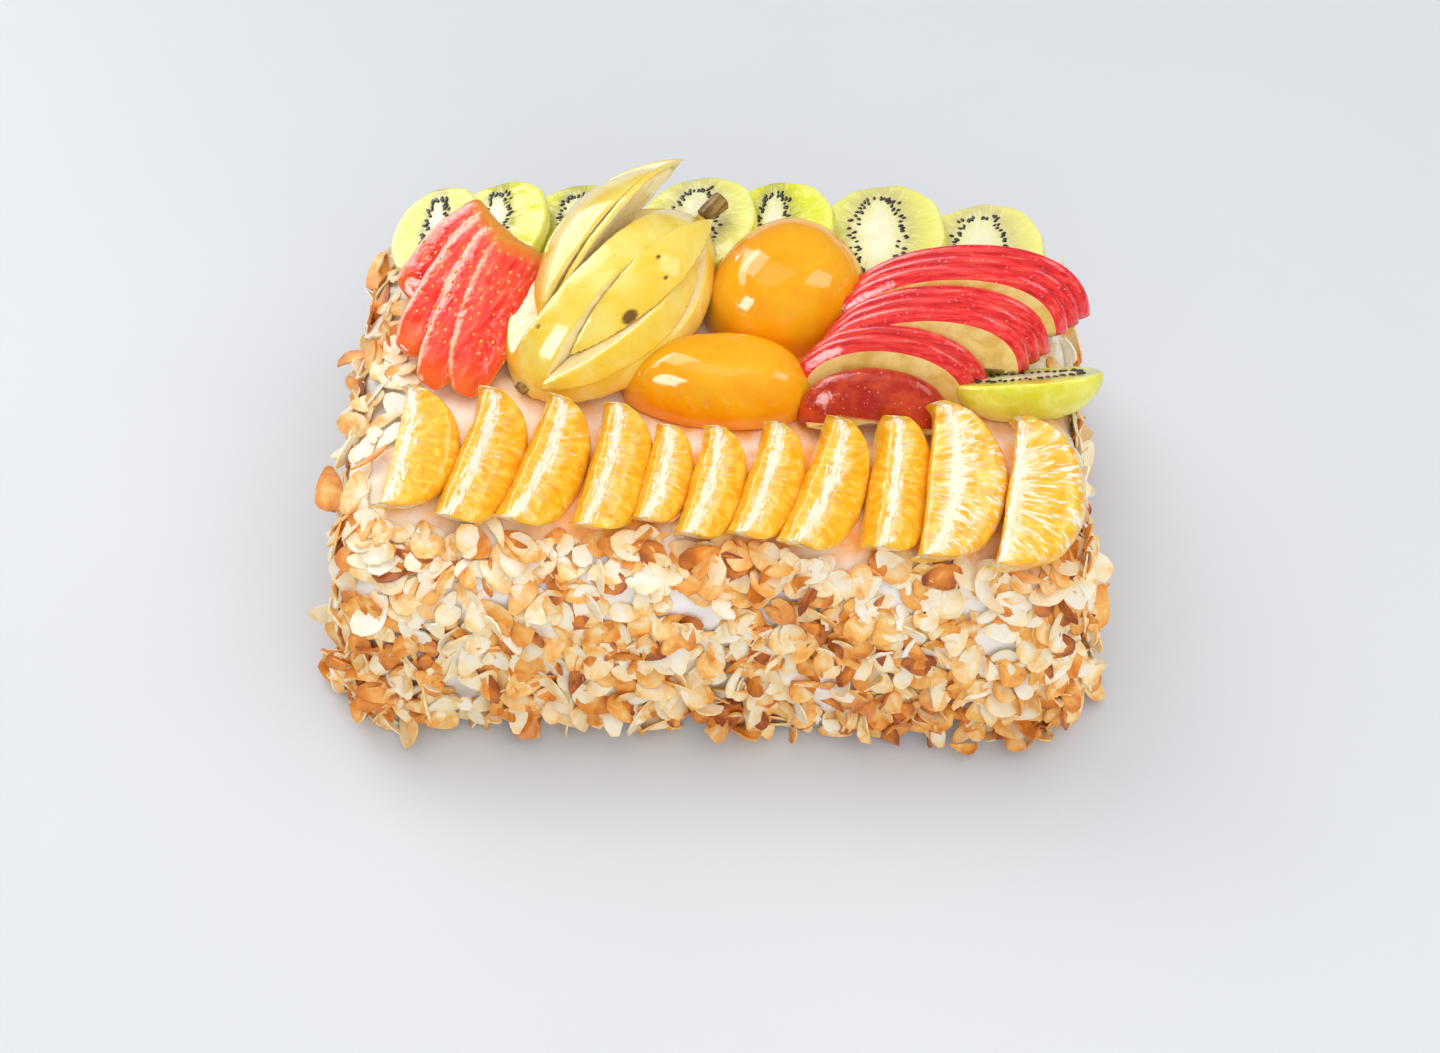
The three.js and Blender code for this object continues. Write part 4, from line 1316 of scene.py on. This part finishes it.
def make_pear_ends():
    """The woody stem at one end, and the small dried flower at the other."""
    stem = mesh_object("pear_stem_stub", *closed_loft(stem_rings(40, np.linspace(0, 1, 12), 0.16)))
    marked(stem, local=coordinates(stem))
    placed(stem, PEAR_PLACE, BARK, "stem", "pear_stem")
    rng = np.random.default_rng(9)
    turn = round_angles(20)
    rings = []
    for t in (0, 0.35, 0.7, 1):
        radius = (3.1 - 1.3 * t) * (1 + 0.28 * np.sin(5 * turn) * t + 0.06 * rng.normal(size=20))
        y, z = 1.6 - 3.2 * t + 0 * turn, 3.4 + radius * np.sin(turn) * 0.8
        rings.append(np.stack([radius * np.cos(turn), y, z], 1))
    calyx = mesh_object("pear_calyx_nub", *closed_loft(rings))
    marked(calyx, local=coordinates(calyx))
    placed(calyx, PEAR_PLACE, BARK, "stem")


# Strawberry fan: four slices that join at the calyx

CALYX = (np.array([-78, 51, 109.0]), np.array([-69, 41, 107.0]))
TIPS = np.array([(-109, 30, 95), (-106, 5, 94), (-97, -9, 93), (-85, -12, 92)], float)
BERRY_WIDTH, BERRY_THICKNESS, BERRY_CANT = 23, 8, 22
BERRY_VOXEL = 0.7
SEED_ROWS, SEED_COLUMNS = 9, 7
SEED_OFF_SURFACE, SEED_SPACING, PIT_RADIUS = 0.9, 2.6, 1.1


def berry_frame(number):
    start = CALYX[0] + (CALYX[1] - CALYX[0]) * number / (len(TIPS) - 1)
    along = TIPS[number] - start
    place = frame_of(start, along, np.cross(Z, along)) @ turned(-BERRY_CANT, "X")
    return place, np.linalg.norm(along)


def berry_breadth(t):
    t = np.clip((np.asarray(t) + 0.06) / 1.07, 0, 1)
    return np.maximum(np.sin(np.pi * t**0.62), 0) ** 0.34


def berry_point(length, t, angle, grow=0.0):
    broad = berry_breadth(t)
    half = np.maximum(0.06, broad) * BERRY_WIDTH / 2 + grow
    thick = np.maximum(0.2, broad) * BERRY_THICKNESS / 2 + grow
    z = thick * signed_power(np.sin(angle), 0.8)
    return np.stack([length * t + 0 * angle, half * np.cos(angle), z], -1)


def berry_marks(points):
    """For each point: how far down its slice it lies, and 1 where it is at the slice's edge."""
    nearest = np.full(len(points), np.inf)
    reach, margin = np.zeros(len(points)), np.zeros(len(points))
    for number in range(len(TIPS)):
        place, length = berry_frame(number)
        local = (points - place[:3, 3]) @ place[:3, :3]
        down = local[:, 0] / length
        broad = np.maximum(0.06, berry_breadth(down))
        across = local[:, 1] / (broad * BERRY_WIDTH / 2)
        through = local[:, 2] / (broad * BERRY_THICKNESS / 2)
        off = np.abs(np.hypot(across, through) - 1) + 2 * np.clip(-local[:, 2] / 4, 0, 1)
        here = off < nearest
        nearest[here] = off[here]
        reach[here] = down[here]
        margin[here] = np.clip((np.abs(across[here]) - 0.8) / 0.16, 0, 1)
    return reach, margin


def berry_seed_spots():
    """Staggered rows of seeds over every slice: their places, and the way out there."""
    rng = np.random.default_rng(12)
    spots, outs = [], []
    for number in range(len(TIPS)):
        place, length = berry_frame(number)
        for row in range(SEED_ROWS):
            for column in range(SEED_COLUMNS):
                t = 0.08 + 0.7 * (row + rng.uniform(0.2, 0.8)) / SEED_ROWS
                step = column + 0.5 * (row % 2) + rng.uniform(0.2, 0.8)
                angle = (12 + 156 * step / (SEED_COLUMNS + 0.5)) * DEG
                spot = berry_point(length, t, angle)
                spots.append(carried(place, spot))
                outs.append(unit(place[:3, :3] @ (berry_point(length, t, angle, 1.0) - spot)))
    return np.array(spots), np.array(outs)


def seeds_that_fit(spots, tree):
    """Numbers of the seeds that lie on the joined surface, clear of each other."""
    kept = []
    for index, spot in enumerate(spots):
        gaps = [np.linalg.norm(spot - spots[other]) for other in kept]
        on_surface = tree.find(spot)[2] <= SEED_OFF_SURFACE
        if on_surface and min(gaps, default=SEED_SPACING) >= SEED_SPACING:
            kept.append(index)
    return kept


def make_strawberry():
    slices = []
    for number in range(len(TIPS)):
        place, length = berry_frame(number)
        angles = round_angles(48)
        rings = [carried(place, berry_point(length, t, angles)) for t in np.linspace(0, 1, 60)]
        slices.append(mesh_object(f"berry_{number}", *closed_loft(rings)))
    fan = slices[0]
    worked(fan, [("UNION", other) for other in slices[1:]])
    fan.name = "strawberry_fan_flesh"
    remeshed(fan, BERRY_VOXEL, 3)
    points = coordinates(fan)
    tree = tree_of(points)
    spots, outs = berry_seed_spots()
    kept = seeds_that_fit(spots, tree)
    spots, outs = spots[kept], outs[kept]
    pit = np.zeros(len(points))
    for spot in spots:
        for _, found, distance in tree.find_range(spot, PIT_RADIUS):
            pit[found] = max(pit[found], 1 - distance / PIT_RADIUS)
    along = TIPS[1] - CALYX[0]
    local = (points - CALYX[0]) @ frame_of(CALYX[0], along, np.cross(Z, along))[:3, :3]
    reach, margin = berry_marks(points)
    tip, calyx = np.clip((reach - 0.78) / 0.24, 0, 0.75), np.clip((0.13 - reach) / 0.12, 0, 1)
    marked(fan, local=local, pit=pit, margin=margin, tip=tip, calyx=calyx)
    swollen(fan, 0.65 * bumps(points, 7.5, 70) + 0.15 * bumps(points, 3.5, 71) - 0.3 * pit**1.5)
    placed(fan, np.eye(4), STRAWBERRY, "strawberry", "strawberry_fan")
    turns = []
    for out in outs:
        side = unit(np.cross(out, unit(along)))
        turns.append(euler_turn(np.cross(side, out), out))
    shapes = shape_box("berry_seed", [seed_shape(1.35, 0.8, 0.6)])
    marks = {"turn": np.array(turns), "size": np.ones_like(spots)}
    picks, sunk = np.zeros(len(spots)), spots - outs * 0.12
    obj = set_out("strawberry_seeds", sunk, shapes, picks, BERRY_SEED, 0.15, 8, **marks)
    placed(obj, np.eye(4), BERRY_SEED, "strawberry", fruit=False)


# Apple slices

# Each step of the fan: slices, left and right end, height, lean, slope of the skin, dullness
APPLE_STEPS = [
    (3, [39, 29, 82], [123, 26, 96], 29, 20, 4.6, 0.0),
    (3, [33, 12, 84], [109, 12, 93], 27, 20, 4.6, 0.0),
    (2, [25, 0, 87], [88, -6, 89], 25, 20, 5, 0.15),
    (1, [25, -15, 88], [75, -17, 88], 20, 24, 12, 0.8),
]
APPLE_THICKNESS = 4.6
APPLE_PITCH, APPLE_SHRINK, APPLE_SLIP = APPLE_THICKNESS + 0.5, 0.03, 2.5
ARC_POINTS, CORE_POINTS, FACE_REACH = 72, 25, 0.62
# The back of a slice: inset from the skin, share of the thickness, skin mark
APPLE_BACK = [(14, 0, 0), (8, 0, 0), (3, 0, 0), (1.0, 0, 0), (0.45, 0.04, 0.6), (0.1, 0.12, 1)]
# Its sloping skin: share of the slope, share of the thickness, skin mark
APPLE_SKIN = [
    (0, 0.24, 1),
    (0.07, 0.42, 1),
    (0.22, 0.6, 1),
    (0.43, 0.75, 1),
    (0.66, 0.88, 1),
    (0.8, 0.94, 1),
    (0.88, 0.97, 0.3),
    (1.0, 1, 0),
]


def half_moon(name, length, height, thickness, slope):
    """Slice on edge: its arc is skin that slopes in to the front, the rest of it is flesh."""
    arc = np.linspace(0, np.pi, ARC_POINTS)
    core = np.linspace(-0.92, 0.92, CORE_POINTS)
    deepest = height * FACE_REACH

    def outline(inset, z):
        x = (length / 2 - inset) * np.cos(arc)
        y = (height - inset) * np.sin(arc) ** 0.8
        dip = np.maximum(3 - 3 * core**2, 0) + min(inset, 3) * 0.3
        x, y = np.append(x, core * length / 2 * 0.94), np.append(y, dip)
        return np.stack([x, y, np.full(len(x), z)], 1)

    profile = APPLE_BACK + [(share * slope, level, mark) for share, level, mark in APPLE_SKIN]
    profile += [(slope + (deepest - slope) * share, 1, 0) for share in (0.3, 0.65, 1)]
    rings, skin = [], []
    for inset, level, mark in profile:
        rings.append(outline(min(inset, deepest), level * thickness))
        skin += [mark] * ARC_POINTS + [0.0] * CORE_POINTS
    obj = mesh_object(name, *closed_loft(rings))
    return obj, np.array(skin + [0.0, 0.0])


def make_apples():
    number = 0
    for count, left, right, height, lean, slope, dull in APPLE_STEPS:
        left, right = np.array(left, float), np.array(right, float)
        up = np.array([0, math.sin(lean * DEG), math.cos(lean * DEG)])
        fan = frame_of((left + right) / 2, right - left, up)
        thickness = APPLE_THICKNESS * (2 if count == 1 else 1)
        for index in range(count):
            number += 1
            size = 1 - APPLE_SHRINK * index
            length = np.linalg.norm(right - left) * size
            obj, skin = half_moon(f"apple_{number}", length, height * size, thickness, slope)
            points = coordinates(obj)
            x, y, z = points.T
            if count == 1:
                shown = np.clip(0.5 + (y - 4) / 6 + x / length, 0, 1)
                skin = np.where(z > 0.9 * thickness, np.maximum(skin, shown), skin)
            bearing = np.arctan2(y / height, x / (length / 2))
            arc = np.column_stack([bearing * length * 0.5, z, np.hypot(x * 0.5, y)])
            arc += [90 * number, 0, 0]
            dulls = np.full(len(points), dull)
            marked(obj, local=points + 70 * number, skin=skin, dull=dulls, arc=arc)
            swollen(obj, 0.22 * bumps(points, 9, 80 + number) + 0.06 * bumps(points, 2.5, 81))
            place = fan @ moved(-APPLE_SLIP * index, 0, index * APPLE_PITCH)
            placed(obj, place, APPLE, "apple", f"apple_slice_{number}")


# Mandarin segments

# Middle, size, roll to the left, lean to the right, how far the white strands run, and how
# far to one side of the inner edge their band lies, in half widths
MANDARINS = [
    (-98, -35.6, 0.96, 60, 9, -0.04, 0.3),
    (-77.2, -38.5, 1.05, 32, 17, 0.0, 0.3),
    (-56.6, -40, 1.02, 30, 20, 0.02, 0.34),
    (-35, -42, 0.98, 30, 13, 0.0, 0.26),
    (-18.4, -43.7, 0.75, 28, 13, 0.02, 0.3),
    (-3, -47, 0.86, 30, 14, 0.0, 0.28),
    (15, -46, 0.9, 32, 17, 0.0, 0.3),
    (33.5, -47, 1.02, 32, 20, 0.02, 0.34),
    (55.6, -46.5, 1.02, 20, 7, 0.0, 0.2),
    (74.3, -45.5, 1.21, 58, 6, 0.12, 0.5),
    (99.5, -49.5, 1.16, 66, 9, 0.14, 0.15),
]
SEGMENT_LENGTH, SEGMENT_DEPTH, SEGMENT_BACK = 43, 28, 21.6
SEGMENT_HEIGHT, SHOULDER_FALL = 91, 17
BAND_LEFT, BAND_RIGHT = 6.2, 4.2
# One flat face from the inner edge to the round back: share of the half width, of the depth
SEGMENT_FACE = [(0.1, 0.0), (0.45, 0.14), (0.76, 0.34), (1.0, 0.68), (0.72, 0.94), (0.0, 1.0)]


def rounded(corners, samples):
    """Closed smooth curve through corner points."""
    corners = np.asarray(corners, float)
    curve = []
    for i in range(len(corners)):
        a, b, c, d = (corners[(i + k - 1) % len(corners)] for k in range(4))
        for t in np.arange(samples) / samples:
            square = (2 * a - 5 * b + 4 * c - d) * t * t
            cube = (3 * b - a - 3 * c + d) * t**3
            curve.append(0.5 * ((2 * b) + (c - a) * t + square + cube))
    return np.array(curve)


def segment_edge(full, depth):
    """Height of a segment's inner edge; full is 1 at its middle and 0 at its two tips."""
    return (0.3 - 0.04 * full) * depth


def segment_rings(length, depth, back):
    rings = []
    for angle in np.linspace(-86, 86, 64) * DEG:
        full = math.cos(angle) ** 0.7
        inner, outer = segment_edge(full, depth), (0.5 - full) * depth
        half, span = back / 2 * full**0.6, inner - outer
        section = [(h * half, inner - s * span) for h, s in SEGMENT_FACE]
        section += [(-h * half, inner - s * span) for h, s in SEGMENT_FACE[-2::-1]]
        curve = rounded(section, 5)
        rings.append(np.column_stack([np.full(len(curve), length / 2 * math.sin(angle)), curve]))
    return rings


def make_mandarins():
    for number, (x, y, size, roll, lean, veined, band) in enumerate(MANDARINS, 1):
        length, depth, back = SEGMENT_LENGTH * size, SEGMENT_DEPTH * size, SEGMENT_BACK * size
        rings = segment_rings(length, depth, back)
        obj = mesh_object(f"mandarin_{number}_segment", *closed_loft(rings))
        points, outward = coordinates(obj), normals(obj)
        full = np.clip(1 - (2 * points[:, 0] / length) ** 2, 0, 1) ** 0.35
        drop = segment_edge(full, depth) - points[:, 2]
        below_middle = 0.75 * depth - points[:, 2]
        angle = np.arctan2(points[:, 0], below_middle)
        radius = np.hypot(points[:, 0], below_middle)
        fan = np.column_stack([angle, radius, np.sign(points[:, 1]) * 3 + 9 * number])
        aside = points[:, 1] + band * back / 2 * full
        pith = 1 - np.abs(aside) / np.where(aside < 0, BAND_LEFT, BAND_RIGHT)
        pith = np.clip(pith, 0, 1) * np.clip(1.8 - 2 * drop / depth, 0, 1)
        flat = np.clip(np.abs(outward[:, 1]) * 2.2 - 0.7, 0, 1)
        veins = np.full(len(points), veined)
        marked(obj, local=points + 60 * number, fan=fan, pith=pith, flat=flat, veined=veins)
        ridge = np.clip(1 - drop / 3.2, 0, 1) * (0.35 + 0.5 * bumps(points, 3, 90))
        swell = 0.35 * bumps(points, 8, 91 + number) + 0.16 * bumps(points, 2.6, 92)
        swollen(obj, swell + 0.5 * ridge)
        fall, lean, roll = SHOULDER_FALL * DEG, lean * DEG, roll * DEG
        along = np.array([math.sin(lean), math.cos(lean) * math.cos(fall), math.sin(fall)])
        up = np.array([-math.sin(roll), -0.45, math.cos(roll)])
        place = frame_of([x, y, SEGMENT_HEIGHT], along, np.cross(up, along))
        placed(obj, place, MANDARIN, "mandarin", f"mandarin_{number}")


# All pieces: the fruit first, because the cream and the flakes are fitted to it

make_kiwis()
make_kiwi_boat()
make_kiwi_seeds()
make_peaches()
make_pear()
make_pear_ends()
make_strawberry()
make_apples()
make_mandarins()
make_flakes(make_cream())
